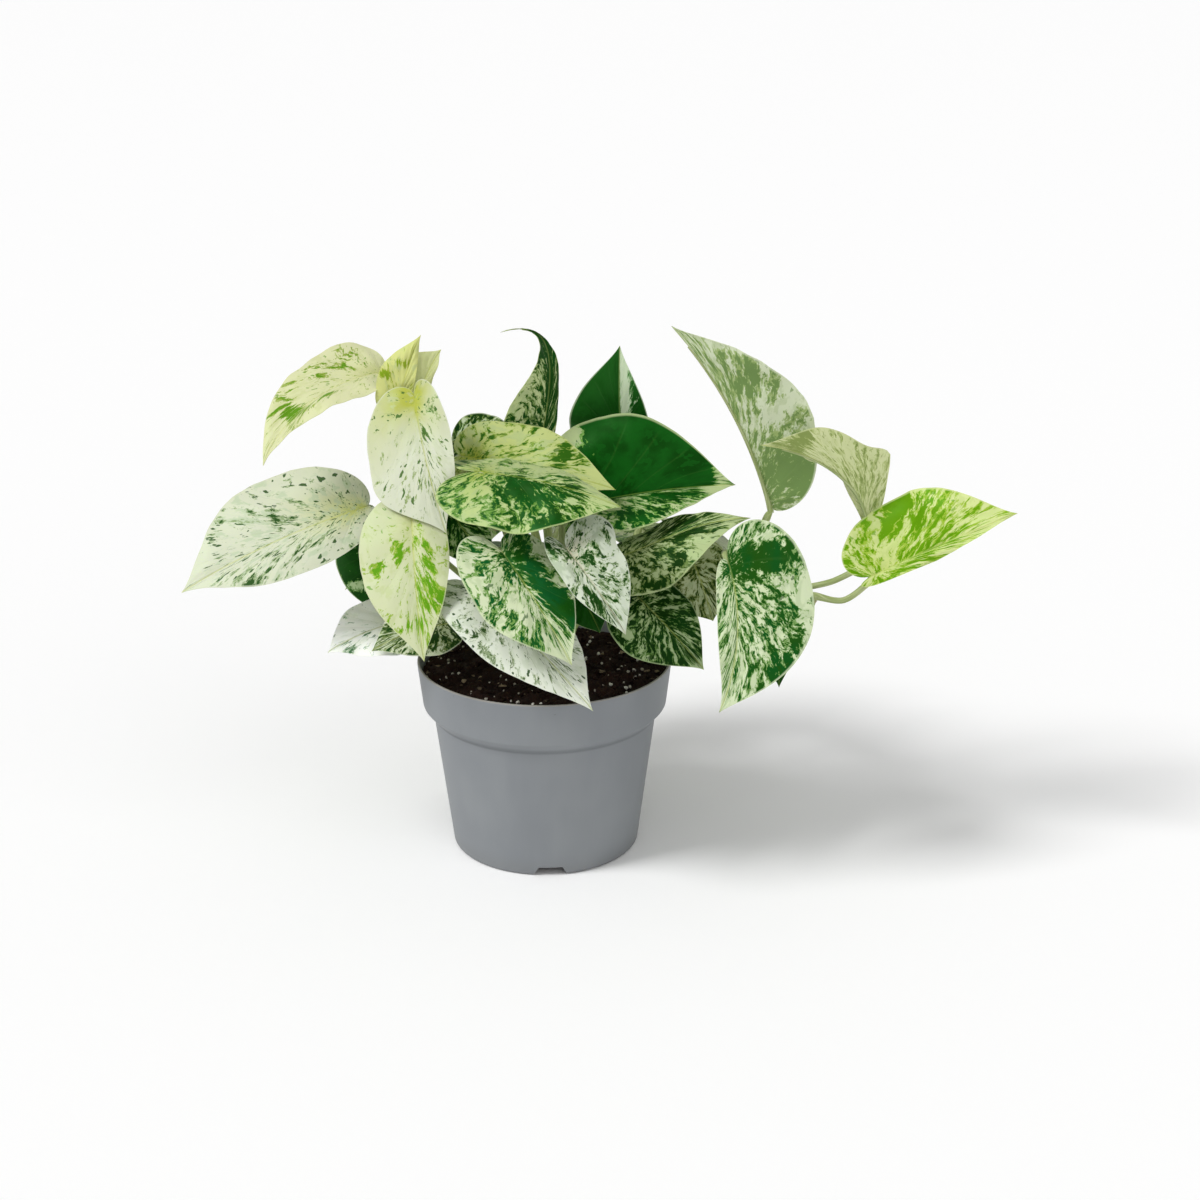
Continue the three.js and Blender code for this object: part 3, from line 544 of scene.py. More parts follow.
leaves = {"left_high": [
    leaf(0.95, [-72, 14, 225], [-123, -24, 192], [-0.35, -0.5, 0.78], [18, 24], "cream",
         via=[[-88, 4, 226], [-114, -10, 216]], fold=24, belly=[0.3, 0.2], lobe=[0.4, 0.4],
         amount=[0.3, 0.3], pale="d3d5a8", warm="cdd08a", ghost="c0c68a", light="93a648", dark="5e8e1c",
         warmth=0.75, spots=[[0.22, -0.5, 0.1, 0.2, 0.2], [0.67, -0.1, 0.06, 0.28, 0.5],
         [0.6, 0.2, 0.04, 0.2, 0.22], [0.46, 0.35, 0.05, 0.16, 0.3], [0.74, 0.6, 0.05, 0.4, 0.28],
         [0.45, -0.5, 0.14, 0.3, 0.14]]),
    leaf(1, [-66, -7, 210], [-53, -6, 247], [-0.2, -0.95, 0.1], [12, 5], "lime", belly=[0.4, 0.4],
         lobe=[0.4, 0.4], amount=[0.28, 0.26], pale="cbce84", warm="bcc05a", light="98a634",
         dark="7f9b20", warmth=0.8, speck=0, spots=[[0.46, 0.7, 0.08, 0.3, 0.45],
         [0.64, 0.4, 0.06, 0.5, 0.32]]),
    leaf(0.97, [-57, 8, 211], [-45, 4, 238], [-0.3, -0.9, 0.3], [14, 6], "lime", cup=40, belly=[0.5, 0.5],
         lobe=[0.3, 0.3], amount=[0.3, 0.3], pale="ccd09a", ghost="c0c68c", light="b2b96c", dark="99a84c",
         warmth=0.5, speck=0),
    # This leaf's wide yellow near its petiole is painted light and shade: the glow of light shining through
    # its shaded lobe
    leaf(0.9, [-56, -16, 222], [-41, -44, 167], [-0.3, -0.9, 0.25], [14, 28], "cream", belly=[0.4, 0.52],
         amount=[0.3, 0.27], pale="cdd1bb", ghost="bdc4a4", light="93a46c", dark="4a6a30", warm="adb24c",
         warmth=1.4, warmReach=[2.4, 0.52], speck=0.95, speckSize=1.2, speckFrom=0.64, streak=[6.8, 2.8],
         spots=[[0.12, 0.55, 0.06, 0.2, 0.26], [0.28, 0.15, 0.05, 0.12, 0.4],
         [0.6, -0.1, 0.2, 0.6, 0.1]]),
    leaf(0.7, [-42, 22, 190], [-4, 20, 177], [0.1, -0.8, 0.6], [18, 18], "deep", lobe=[0.4, 0.4],
         amount=[0.52, 0.57], pale="c6d0b4", dark="264410", light="748c48"),
], "left_low": [
    leaf(0.98, [-57, -34, 174], [-51, -62, 114], [-0.15, -0.9, 0.4], [16, 25], "cream", amount=[0.4, 0.3],
         pale="c9cfa8", warm="c2c86c", ghost="b6c284", light="92ae3e", dark="5f9818", warmth=0.5,
         streak=[9.3, 3.9], spots=[[0.42, 0.38, 0.16, 0.16, 0.28], [0.55, 0.1, 0.14, 0.12, 0.16],
         [0.28, -0.25, 0.09, 0.12, 0.36], [0.36, -0.6, 0.05, 0.12, 0.3], [0.76, -0.1, 0.07, 0.4, 0.22],
         [0.62, 0.6, 0.12, 0.4, 0.1]]),
    leaf(0.9, [-80, -4, 167], [-161, -34, 136], [-0.1, -0.7, 0.7], [21, 33], "cream", bow=8,
         belly=[0.42, 0.42], lobe=[0.5, 0.5], amount=[0.33, 0.31], pale="d2d6bf", ghost="b9c8a8",
         light="93a67a", dark="36562a", warm="c6cb72", warmth=1.0, haze=0.7, speck=0.95, speckSize=1.35,
         speckFrom=0.635, streak=[8.6, 3.6], spots=[[0.44, -0.36, 0.03, 0.09, 0.3],
         [0.53, -0.6, 0.03, 0.1, 0.24], [0.4, -0.2, 0.1, 0.15, 0.14], [0.7, 0.72, 0.05, 0.16, 0.4],
         [0.5, 0.4, 0.3, 0.5, 0.09], [0.9, 0, 0.07, 1, -0.2]]),
    leaf(0.7, [-76, 18, 145], [-76, 14, 106], [-0.4, -0.9, 0.2], [15, 24], "deep", amount=[0.78, 0.82],
         pale="a4b88c", light="58803e", spots=[[0.62, 0, 0.07, 1.6, -0.42]]),
    leaf(0.6, [-63, -8, 113], [-98, -26, 104], [-0.2, -0.6, 0.77], [18, 18], "marbled",
         amount=[0.29, 0.22], pale="fbfdf6", ghost="e4ecdd", light="b4c8ac", dark="47704a", haze=0.5,
         streak=[8.5, 3], spots=[[0.5, 0.1, 0.06, 0.2, 0.3], [0.78, 0.25, 0.13, 0.4, 0.26],
         [0.58, -0.5, 0.06, 0.2, 0.2]]),
    leaf(0.5, [-43, -20, 116], [-77, -34, 108], [-0.1, -0.6, 0.8], [16, 16], "marbled",
         amount=[0.56, 0.5], pale="d0d6bc", light="74864e", dark="1f3e12"),
], "front_left": [
    leaf(0.98, [-16, -58, 163], [14, -84, 121], [0.25, -0.8, 0.5], [19, 24], "marbled", lobe=[1.2, 2.2],
         petiole=[[-16, -44, 148]], amount=[0.5, 0.48], pale="ccd6b2", light="6f964a", dark="164c0e",
         deepGreen="0f5424", spots=[[0.35, 0.3, 0.14, 0.16, 0.3], [0.55, 0.45, 0.16, 0.22, 0.36],
         [0.7, 0.55, 0.1, 0.2, 0.2], [0.1, 0.1, 0.1, 0.5, 0.25], [0.12, 0.75, 0.1, 0.2, -0.2],
         [0.2, -0.4, 0.06, 0.4, 0.12], [0.92, 0, 0.08, 1, -0.3]]),
    leaf(0.8, [-28, -46, 142], [23, -82, 99], [0.1, -0.7, 0.7], [18, 22], "cream", belly=[0.5, 0.22],
         lobe=[0, 1.5], shoulder=[0.3, 1], amount=[0.38, 0.38], pale="dbdfd2", ghost="c2ccb4",
         light="8d9c78", dark="2f4a24", warmth=0.3, haze=0.4, speck=0.95, speckFrom=0.645,
         streak=[7.2, 2.8], spots=[[0.22, -0.85, 0.06, 0.15, 0.2], [0.9, 0, 0.1, 1, -0.15]]),
], "middle": [
    leaf(0.98, [-26, -46, 195.7], [35, -68, 186.7], [0, -0.45, 0.89], [20, 26], "marbled", fold=-16,
         cup=-15, belly=[0.12, 0.3], lobe=[2.4, 2.4], amount=[0.47, 0.55], pale="b3c286", warm="94a23c",
         light="5d8632", dark="123e06", deepGreen="0d4c12", warmth=1, warmReach=[1.2, 0.5],
         streak=[8, 3.4], bend=6, spots=[[0.02, -0.5, 0.13, 0.9, -0.12], [0.26, -0.15, 0.1, 0.3, 0.2],
         [0.46, -0.25, 0.14, 0.2, 0.22], [0.66, 0.12, 0.1, 0.2, 0.16], [0.45, 0.7, 0.2, 0.3, -0.14],
         [0.6, -0.7, 0.1, 0.2, 0.16], [0.78, 0.5, 0.08, 0.4, -0.3], [0.9, 0, 0.08, 1, -0.25]]),
    leaf(0.9, [-36, -12, 193], [33, -34, 184], [0.1, -0.7, 0.7], [22, 18], "lime", lobe=[0.8, 0.8],
         amount=[0.46, 0.44], pale="b8c27e", light="80993e", dark="2f5e10", warm="a2ad40", warmth=1.3,
         streak=[10, 3.6], bend=5, spots=[[0.45, -0.3, 0.12, 0.3, 0.08], [0.62, 0.4, 0.05, 0.4, 0.26],
         [0.72, 0.7, 0.12, 0.3, 0.16], [0.3, 0.6, 0.2, 0.3, -0.06], [0.88, 0, 0.1, 1, -0.2]]),
    leaf(0.6, [12, -68, 168], [37, -86, 135.7], [0.2, -0.87, 0.45], [19, 10], "cream", belly=[0.2, 0.3],
         shoulder=[1.8, 1], lobe=[1.8, 2], petiole=[[9, -48, 172]], amount=[0.41, 0.53], pale="c9d1be",
         ghost="a9b59c", light="7f9468", dark="163a0c", warm="bdb49a", warmth=0.9, haze=0.8, speck=0.95,
         speckFrom=0.64, streak=[5.6, 2.8], spots=[[0.2, 0.2, 0.12, 0.3, 0.16],
         [0.5, 0.4, 0.2, 0.3, 0.03], [0.5, -0.35, 0.2, 0.14, 0.14], [0.24, -0.7, 0.14, 0.4, -0.2],
         [0.92, 0, 0.06, 1, -0.3]]),
    leaf(0.8, [-42, -26, 174], [-22, -34, 147], [0, -0.9, 0.4], [12, 14], "deep", amount=[0.6, 0.6],
         light="5f8a3e"),
], "crown": [
    leaf(0.98, [-3, 8, 181], [-18, -6, 248], [0.3, -0.95, 0.1], [21, 6], "deep",
         via=[[2, 4, 215], [14, 0, 257]], turn=40, belly=[0.08, 0.3], sharp=1.5, amount=[0.55, 0.66],
         pale="c3cd9a", warm="a8b060", light="75904e", dark="163f0c", deepGreen="0f4410",
         spots=[[0.45, 0.6, 0.16, 0.3, -0.16], [0.42, 0, 0.14, 0.16, 0.2], [0.75, 0.3, 0.16, 1.4, 0.34],
         [0.93, 0, 0.06, 1, -0.2]]),
    leaf(0.9, [37, 26, 175], [35, 20, 236], [-0.25, -0.95, 0.1], [25, 14], "deep", amount=[1.2, 0.5],
         pale="c0cfb0", ghost="a9bd9c", light="6f9a60", dark="1a5218", deepGreen="12480f",
         spots=[[0.6, -0.2, 1.2, 0.15, -0.24], [0.4, -0.3, 0.06, 0.1, 0.3], [0.5, -0.9, 1.2, 0.35, 0.5]]),
    leaf(0.75, [13, -8, 168], [87, -10, 179], [0, -0.65, 0.75], [38, 28], "deep", fold=35, cup=-20,
         amount=[1.2, 0.52], pale="b6c490", light="6b9a44", dark="0d5010", deepGreen="053a04",
         spots=[[0.05, 0.75, 0.13, 0.34, -1.05], [0.93, 0, 0.09, 1.4, -0.8],
         [0.62, -0.25, 0.16, 0.16, 0.3], [0.4, -0.7, 0.12, 0.3, 0.1]]),
], "front_right": [
    leaf(0.98, [34, -28, 151], [92, -40, 173], [0, -0.55, 0.83], [11, 24], "marbled",
         via=[[48, -32, 156], [66, -36, 171]], fold=6, belly=[0.45, 0.3], amount=[0.53, 0.53],
         pale="acba88", light="687f40", dark="143408", streak=[8.5, 3.2], bend=5,
         spots=[[0.7, -0.1, 0.3, 0.1, 0.2], [0.56, 0.4, 0.16, 0.3, 0.2], [0.5, -0.55, 0.08, 0.25, 0.16],
         [0.66, -0.5, 0.1, 0.3, -0.1], [0.8, -0.7, 0.14, 0.4, -0.12], [0.9, 0, 0.08, 1, -0.16]]),
    leaf(0.8, [42, -34, 135], [72, -54, 107], [0.1, -0.85, 0.5], [16, 22], "deep", amount=[0.6, 0.59],
         pale="9fb184", light="557638", dark="0e2a05", streak=[9, 2.3], haze=0.3,
         spots=[[0.95, 0, 0.05, 1, -0.3]]),
    leaf(0.6, [16, -24, 133], [26, -32, 116], [0.1, -0.85, 0.5], [11, 11], "deep", amount=[0.85, 0.85]),
], "long_right": [
    leaf(0.55, [67, -20, 149], [77, -30, 121], [0.1, -0.9, 0.3], [16, 22], "cream", amount=[0.48, 0.5],
         pale="c3cba4", light="7c884c", dark="2c4210"),
    leaf(0.71, [82, -50, 156], [78, -72, 94], [-0.05, -0.93, 0.35], [34, 9], "marbled",
         via=[[88, -57, 139], [88, -65, 115]], belly=[0.34, 0.4], lobe=[2, 0.4], petiole=[[95, -28, 140]],
         amount=[0.52, 0.48], pale="cbd6b2", light="6f9350", dark="1c4a0c", deepGreen="0c4c16",
         streak=[7, 2.7], spots=[[0.06, 0.4, 0.1, 0.6, 0.3], [0.16, 0.7, 0.08, 0.2, -0.12],
         [0.38, 0.9, 0.16, 0.14, -0.13], [0.55, 0.75, 0.12, 0.2, 0.12], [0.7, 0.6, 0.06, 0.2, 0.12],
         [0.95, 0, 0.06, 1, -0.25]]),
    leaf(0.76, [103, -14, 125], [108, -26, 87], [0.2, -0.93, 0.3], [11, 11], "deep", amount=[0.8, 0.8]),
    leaf(0.8, [105, 6, 163], [57, -20, 254], [0.75, 0.6, 0.3], [35, 23], "cream", fold=45, bow=9,
         belly=[0.4, 0.3], lobe=[0.3, 0.5], shoulder=[0.7, 1], amount=[0.48, 0.44], pale="e0e7cc",
         light="98b062", dark="5c8232", ghost="c0cca2", warm="b3bb70", haze=0.6, streak=[13, 5],
         spots=[[0.16, 0.45, 0.16, 0.5, 0.34], [0.62, 0.35, 0.1, 0.3, 0.14], [0.5, -0.4, 0.3, 0.3, 0.06],
         [0.42, 0.5, 0.08, 0.3, -0.14]]),
    leaf(0.94, [150, 4, 146], [96, -36, 205], [0, 0.7, 0.7], [22, 8], "cream",
         via=[[150, -4, 178], [124, -16, 196]], fold=55, belly=[0.36, 0.4], shoulder=[0, 0.4],
         lobe=[0, 0], wave=-5, waves=2, petiole=[[135, 0, 130]], amount=[0.42, 0.34], pale="d6dbaa",
         ghost="c4cc94", light="a9b670", dark="76893c", streak=[10.2, 3],
         spots=[[0.35, 0.3, 0.16, 0.5, 0.1], [0.8, 0.4, 0.06, 1.2, 0.3], [0.92, 0, 0.04, 1, 0.14]]),
    leaf(0.99, [150, -14, 137], [211, -30, 172], [-0.2, -0.8, 0.5], [29, 6], "lime", belly=[0.36, 0.36],
         lobe=[1.5, 1], petiole=[[138, -8, 123]], amount=[0.56, 0.51], pale="cdd794", light="9ab83c",
         dark="669a0c", deepGreen="5e9208", ghost="b6c878", warm="c3d07a", warmth=1.1, streak=[15.3, 3.9],
         spots=[[0.1, 0, 0.08, 1, -0.15], [0.34, 0.75, 0.16, 0.3, 0.22], [0.25, -0.5, 0.14, 0.4, 0.14],
         [0.85, 0, 0.16, 1, -0.22]]),
], "back_left": [
    leaf(0.98, [-62, 60, 150], [-94, 78, 112], [-0.45, 0.55, 0.7], [24, 24], "cream"),
    leaf(0.85, [-32, 86, 152], [-34, 116, 106], [-0.1, 0.85, 0.5], [25, 25], "marbled"),
    leaf(0.65, [-60, 40, 136], [-98, 48, 108], [-0.5, 0.2, 0.8], [20, 20], "marbled"),
    leaf(0.45, [-18, 70, 124], [-14, 98, 92], [0, 0.75, 0.65], [20, 20], "deep"),
], "back_middle": [
    leaf(0.98, [-14, 62, 182], [-44, 100, 162], [-0.3, 0.5, 0.8], [26, 26], "lime"),
    leaf(0.85, [12, 66, 172], [40, 100, 144], [0.3, 0.6, 0.75], [24, 24], "marbled"),
    leaf(0.6, [8, 78, 138], [14, 112, 108], [0.1, 0.75, 0.65], [21, 21], "cream"),
], "back_right": [
    leaf(0.98, [64, 52, 140], [94, 72, 112], [0.4, 0.4, 0.8], [22, 22], "cream"),
    leaf(0.85, [46, 74, 132], [58, 104, 98], [0.25, 0.8, 0.55], [23, 23], "marbled"),
    leaf(0.65, [72, 24, 128], [104, 26, 100], [0.5, 0.1, 0.85], [19, 19], "deep"),
]}


# Where the lateral ribs end on the outline, as shares of the length and the half width
def outlineAt(leaf, hand, rib):
    belly, lobe, shoulder = (leaf[key][hand] for key in ("belly", "lobe", "shoulder"))
    sharp = leaf["sharp"]
    nearArc = np.array([(0, 0), (-0.16 * lobe, 0.06), (-0.17 * lobe, shoulder), (belly, 1)])
    nearTip = (0.84 - 0.2 * sharp, 0.2 - 0.2 * sharp)
    farArc = np.array([(belly, 1), ((belly + 1) / 2, 1), nearTip, (1, 0)])
    near = rib < blade["widest"]
    t = np.where(near, rib / blade["widest"], (rib - blade["widest"]) / (1 - blade["widest"]))
    arc = np.where(near[:, None, None], nearArc, farArc)
    weights = np.stack([(1 - t) ** 3, 3 * (1 - t) ** 2 * t, 3 * (1 - t) * t ** 2, t ** 3], 1)
    ends = np.einsum("rk,rkc->rc", weights, arc)
    return ends[:, 0], ends[:, 1]


# The midrib with its directions: centre, forward, normal and left at shares along it
def midribAt(leaf, along):
    base, tip = np.array(leaf["base"], float), np.array(leaf["tip"], float)
    face = unit(np.array(leaf["face"], float))
    first, second = (np.array(leaf["via"], float) if "via" in leaf
                     else [base + (tip - base) * share + face * leaf["bow"] for share in (1 / 3, 2 / 3)])

    def run(t):
        return ((1 - t) ** 3 * base + 3 * (1 - t) ** 2 * t * first + 3 * (1 - t) * t ** 2 * second
                + t ** 3 * tip)

    length = np.linalg.norm(np.diff(run(np.linspace(0, 1, 200)[:, None]), axis=0), axis=1).sum()
    along = np.asarray(along, float)
    t = np.clip(along, 0, 1)[..., None]
    forward = unit((1 - t) ** 2 * (first - base) + 2 * (1 - t) * t * (second - first)
                   + t ** 2 * (tip - second))
    normal = unit(face - forward * (forward @ face)[..., None])
    turn = np.radians(leaf["turn"] * t)
    normal = normal * np.cos(turn) + np.cross(forward, normal) * np.sin(turn)
    centre = run(t) + forward * (along[..., None] - t) * length
    return centre, forward, normal, np.cross(normal, forward), length


# Points of the blade's middle surface for ribs and signed shares across, left positive
def bladePoints(leaf, rib, share):
    hands = (share < 0).astype(int)
    ends = [outlineAt(leaf, hand, rib) for hand in (0, 1)]
    endAlong = np.where(hands[None] == 0, ends[0][0][:, None], ends[1][0][:, None])
    endAcross = np.where(hands[None] == 0, ends[0][1][:, None], ends[1][1][:, None])
    reach = np.abs(share)[None]
    start = rib[:, None] ** blade["spread"]
    along = start + (endAlong - start) * reach
    across = endAcross * reach
    side = np.where(share < 0, -1, 1)[None]
    half = np.where(hands[None] == 0, *leaf["half"])
    centre, _, normal, left, length = midribAt(leaf, along)
    fold, curl = math.radians(leaf["fold"]), math.radians(leaf["cup"] or 0.01)
    out = half / curl * (np.sin(fold + curl * across) - math.sin(fold))
    lift = half / curl * (math.cos(fold) - np.cos(fold + curl * across))
    lift = lift + leaf["wave"] * across ** 2 * np.sin(2 * math.pi * leaf["waves"] * along + side)
    points = centre + left * (side * out)[..., None] + normal * lift[..., None]
    return points, along, across * side, across * side * half, length


# How far lateral veins lean towards the tip on their way out from the midrib
def veinLean(share):
    return blade["lean"] * (1 - np.exp(-blade["leanRate"] * np.abs(share)))


# A closed thin blade with its veins pressed in above and raised below
def bladeMesh(leaf, seed):
    rows, wide = blade["ribs"], blade["across"]
    rib = np.linspace(0, 1, rows + 1)
    share = np.linspace(-1, 1, 2 * wide + 1)
    points, along, across, out, length = bladePoints(leaf, rib, share)
    index = np.arange((rows + 1) * (2 * wide + 1)).reshape(rows + 1, -1)
    index[0], index[-1] = index[0, 0], index[-1, 0]
    points[0], points[-1] = points[0, wide], points[-1, wide]
    quads = np.stack([index[:-1, :-1], index[1:, :-1], index[1:, 1:], index[:-1, 1:]], -1).reshape(-1, 4)
    flat = points.reshape(-1, 3)
    push = np.cross(flat[quads[:, 2]] - flat[quads[:, 0]], flat[quads[:, 3]] - flat[quads[:, 1]])
    normals = np.zeros_like(flat)
    for k in range(4):
        np.add.at(normals, quads[:, k], push)
    normals = unit(normals).reshape(points.shape)

    body = np.sin(math.pi * np.clip(np.abs(share), 0, 1))[None] * np.sin(math.pi * rib)[:, None] ** 0.5
    veins = np.cos(2 * math.pi * blade["veins"] * (rib[:, None] - veinLean(share)[None]))
    groove = np.exp(-(share[None] * 7) ** 2) * (1 - rib[:, None]) ** 0.4
    bumps = blade["unevenness"] * uneven(out, along * length, seed, 24) * body
    margin = blade["margin"] * uneven(along * length, 0 * out, seed + 3, 9)
    margin = margin * np.abs(share)[None] ** 6 * body.max(1)[:, None]
    middle = points + normals * (bumps + margin - blade["relief"] * veins * body)[..., None]
    thin = blade["edge"] + (blade["thick"] - blade["edge"]) * (1 - np.abs(share)[None] ** 4)
    upper = middle + normals * (thin / 2 - blade["groove"] * groove)[..., None]
    lower = middle - normals * (thin / 2 + 0.3 * blade["groove"] * groove)[..., None]

    used = np.unique(index)
    number = np.full(index.size, -1)
    number[used] = np.arange(len(used))
    quads = number[quads]
    faces = [list(dict.fromkeys(quad)) for quad in quads.tolist()]
    under = len(used)
    faces += [[i + under for i in reversed(face)] for face in faces]
    ring = number[[*index[:, -1], *index[-2:0:-1, 0]]].tolist()
    faces += [[a, b, b + under, a + under] for a, b in zip(ring, ring[1:] + ring[:1])]
    corners = np.vstack([upper.reshape(-1, 3)[used], lower.reshape(-1, 3)[used]])

    # Green laid on as listed: what the look says, before the shader breaks it up
    green = np.where(across >= 0, *leaf["amount"])
    for spotAlong, spotAcross, sizeAlong, sizeAcross, strength in leaf["spots"]:
        away = ((along - spotAlong) / sizeAlong) ** 2 + ((across - spotAcross) / sizeAcross) ** 2
        green = green + strength * np.exp(-away)
    vein = rib[:, None] - veinLean(share)[None]
    travel = np.abs(out) + rib[:, None] * length  # how far a streak has come from the petiole
    apart = np.broadcast_to(seed * 3.7 + 1.9 * (share < 0), out.shape)  # so that no two halves are alike
    place = np.stack([travel, vein * length, apart], -1)
    spot = np.stack([np.broadcast_to(rib[:, None], out.shape), np.broadcast_to(share[None], out.shape),
                     np.zeros(out.shape)], -1)
    below = spot + (0, 0, 1)
    return corners, faces, dict(
        place=np.tile(place.reshape(-1, 3)[used], (2, 1)),
        spot=np.vstack([spot.reshape(-1, 3)[used], below.reshape(-1, 3)[used]]),
        green=np.tile(green.reshape(-1)[used], 2), out=np.tile(out.reshape(-1)[used], 2),
    )


# The petiole swings out of its stem, up under the blade, and runs on as the raised midrib
def petioleMesh(leaf, foot, along, seed):
    centre, forward, normal = (part[0] for part in midribAt(leaf, np.array([0.0]))[:3])
    outward = centre - foot
    outward = unit(outward - along * outward.dot(along))
    start = foot + outward * (petiole["foot"] + petiole["gap"])
    knee = start + outward * petiole["knee"]
    reach = min(leaf["rise"], 0.4 * np.linalg.norm(centre - knee))
    under = centre - 0.6 * reach * forward - 0.8 * reach * normal
    bends = [np.array(point, float) for point in leaf.get("petiole", [])]
    line = [start - outward * petiole["sunk"], start, knee, *bends, under, centre]
    path, run = throughPoints(line, petiole["steps"])
    share = np.linspace(0, 1, petiole["steps"])
    thin = petiole["thin"]
    nearFoot = np.exp(-(share * run / petiole["sheathLength"]) ** 2)
    nearJoint = np.exp(-(((1 - share) * run - petiole["jointAt"]) / petiole["jointLength"]) ** 2)
    thick = thin + (petiole["sheath"] - thin) * nearFoot
    thick = thick + (petiole["joint"] - thin) * nearJoint
    rib = np.linspace(petiole["ridgeFrom"], petiole["ridgeTo"], petiole["ridgeSteps"])
    middle, _, up, _, _ = midribAt(leaf, rib)
    ridge = np.interp(rib, (0, 1), petiole["ridge"])
    middle = middle - up * (petiole["ridgeDrop"] + ridge)[:, None]
    points = np.vstack([path[:-1], middle])
    radii = np.concatenate([thick[:-1], ridge])
    radii[len(path) - 4:len(path) + 1] = np.linspace(radii[len(path) - 4], radii[len(path)], 5)
    corners, faces, spread = tube(points, radii, petiole["sides"], normal, petiole["groove"])
    place = np.column_stack([spread, np.full(len(spread), seed * 3.7)])
    none = np.zeros(len(corners))
    return corners, faces, dict(place=place, spot=np.zeros((len(corners), 3)), green=none, out=none)


# Shares of brush, second and grain in the two fields, and where light and dark green begin in them
marbling = dict(lightMix=(0.62, 0.3, 0.08), darkMix=(0.5, 0.4, 0.1), lightAt=(0.482, 0.502),
                darkAt=(0.496, 0.51), rim=(0.955, 0.985))


def leafFinish(name, look):
    finish, wire, feed = newFinish(name, {
        "Specular IOR Level": 0.16, "Specular Tint": (0.35, 1, 0.3, 1), "Subsurface Weight": 0.1,
        "Subsurface Scale": 0.0008, "Subsurface Radius": (0.8, 1.0, 0.35)})
    travel, vein, seed = wire.attribute("place", "Vector").parts()
    rib, share, under = wire.attribute("spot", "Vector").parts()
    green, out = wire.attribute("green"), wire.attribute("out")
    side = abs(share)
    long, fine = look["streak"]
    bent = vein + (wire.noise([travel / 6, vein / 5, seed + 51], 2.0) - 0.5) * look["bend"]
    brush = wire.noise([travel / long, bent / fine, seed], 5.0, 0.68, 0.15)
    second = wire.noise([travel / long * 2.1, bent / fine * 2.1, seed + 9], 4.0, 0.7, 0.15)
    grain = wire.noise([travel / 1.5, bent / 0.8, seed + 17], 2.0, 0.6)
    blotch = wire.noise([travel / 13, vein / 10, seed + 23], 2.0)
    level = (green - 0.5) * 0.4
    lightField, darkField = (brush * a + second * b + grain * c + level
                             for a, b, c in (marbling["lightMix"], marbling["darkMix"]))
    darkField = darkField - look["gap"]

    tones = ("pale", "warm", "ghost", "light", "dark")
    pale, warm, ghost, light, dark = (colour(look[key]) for key in tones)
    # Yellow near the petiole: the leaf's own tint, and on the fourth left_high leaf painted light through
    # its shaded lobe
    yellow = (1 - side.step(0.0, look["warmReach"][0])) * (1 - rib.step(0.05, look["warmReach"][1]))
    body = (yellow * look["warmth"] * (0.5 + blotch)).pick(pale, warm)
    hazeAt = wire.noise([travel / 7, bent / 4, seed + 31], 3.0, 0.6) + (green - 0.4) * 0.3
    body = (hazeAt.step(0.5, 0.6) * look["haze"]).pick(body, ghost)
    tint = lightField.step(0.47, 0.53)
    body = (lightField.step(*marbling["lightAt"]) * (0.55 + tint * 0.45)).pick(body, light)
    deep = dark
    if look["deepGreen"]:
        deep = blotch.step(0.35, 0.65).pick(colour(look["deepGreen"]), dark)
    body = darkField.step(*marbling["darkAt"]).pick(body, deep)
    size, edge = look["speckSize"], look["speckFrom"]
    flecks = wire.noise([travel / (4.2 * size), bent / (2 * size), seed + 41], 2.0, 0.5)
    flecks = flecks + (green - 0.4) * 0.12
    body = (flecks.step(edge, edge + 0.015) * look["speck"]).pick(body, dark)

    lateral = abs(wire.maths("FRACT", vein * look["veinShare"] + 0.5) - 0.5)
    ridge = (1 - lateral.step(0.0, 0.06)) * (1 - side.step(0.7, 0.95))
    body = (ridge * 0.05).pick(body, light)
    midrib = 1 - abs(out).step(0.1, 0.6)
    body = (midrib * 0.45).pick(body, (green.step(0.45, 0.7) * 0.7).pick(warm, light))
    body = (side.step(*marbling["rim"]) * 0.7).pick(body, pale)
    body = (under * 0.2).pick(body, ghost)
    feed("Base Color", body)
    feed("Roughness", 0.4 + grain * 0.1 + under * 0.14 - darkField.step(0.49, 0.52) * 0.06)
    height = grain * 0.2 + brush * 0.2 - ridge * 0.35 - midrib * 0.4
    feed("Normal", height.bump(0.3, 0.0005))
    return finish


def stalkFinish(name, kind):
    finish, wire, feed = newFinish(name, {
        "Specular IOR Level": 0.45, "Subsurface Weight": 0.12, "Subsurface Scale": 0.001,
        "Subsurface Radius": (0.8, 1.0, 0.35)})
    around, along, seed = wire.attribute("place", "Vector").parts()
    streak = wire.noise([around / 1.1, along / 16, seed], 3.0, 0.55)
    pores = wire.noise([around / 0.7, along / 1.6, seed + 5], 2.0, 0.6)
    pale = colour(kind["pale"])
    body = streak.step(0.36, 0.66).pick(colour(kind["dark"]), pale)
    body = (pores.step(0.68, 0.74) * 0.5).pick(body, pale)
    foot = (1 - along.step(1.0, 5.0)) * (0.35 + pores * 0.6)
    feed("Base Color", foot.pick(body, colour(kind["brown"])))
    feed("Roughness", 0.42 + pores * 0.2)
    height = streak * 0.6 + pores * 0.3
    feed("Normal", height.bump(0.4, 0.0004))
    return finish


# Stems: a tube with a swollen ring at each leaf, short root nubs beside it, and a blunt end
vine = dict(radius=2.15, unevenness=0.12, swelling=0.5, ringLength=2.2, blunt=2.2, below=59.5,
            straight=(75.5, 88.5, 95.5), step=1.1, sides=18, nubs=2, nub=(0.75, 2.6), nubSides=8,
            nubShape=(1, 0.95, 0.85, 0.7, 0.5, 0.2), pale="a9b472", dark="7f9450", brown="7a6240")


def stemLine(name):
    (x, y), *rest = stems[name]
    upright = [(x, y, z) for z in (vine["below"], *vine["straight"])]
    return [*upright, *rest]


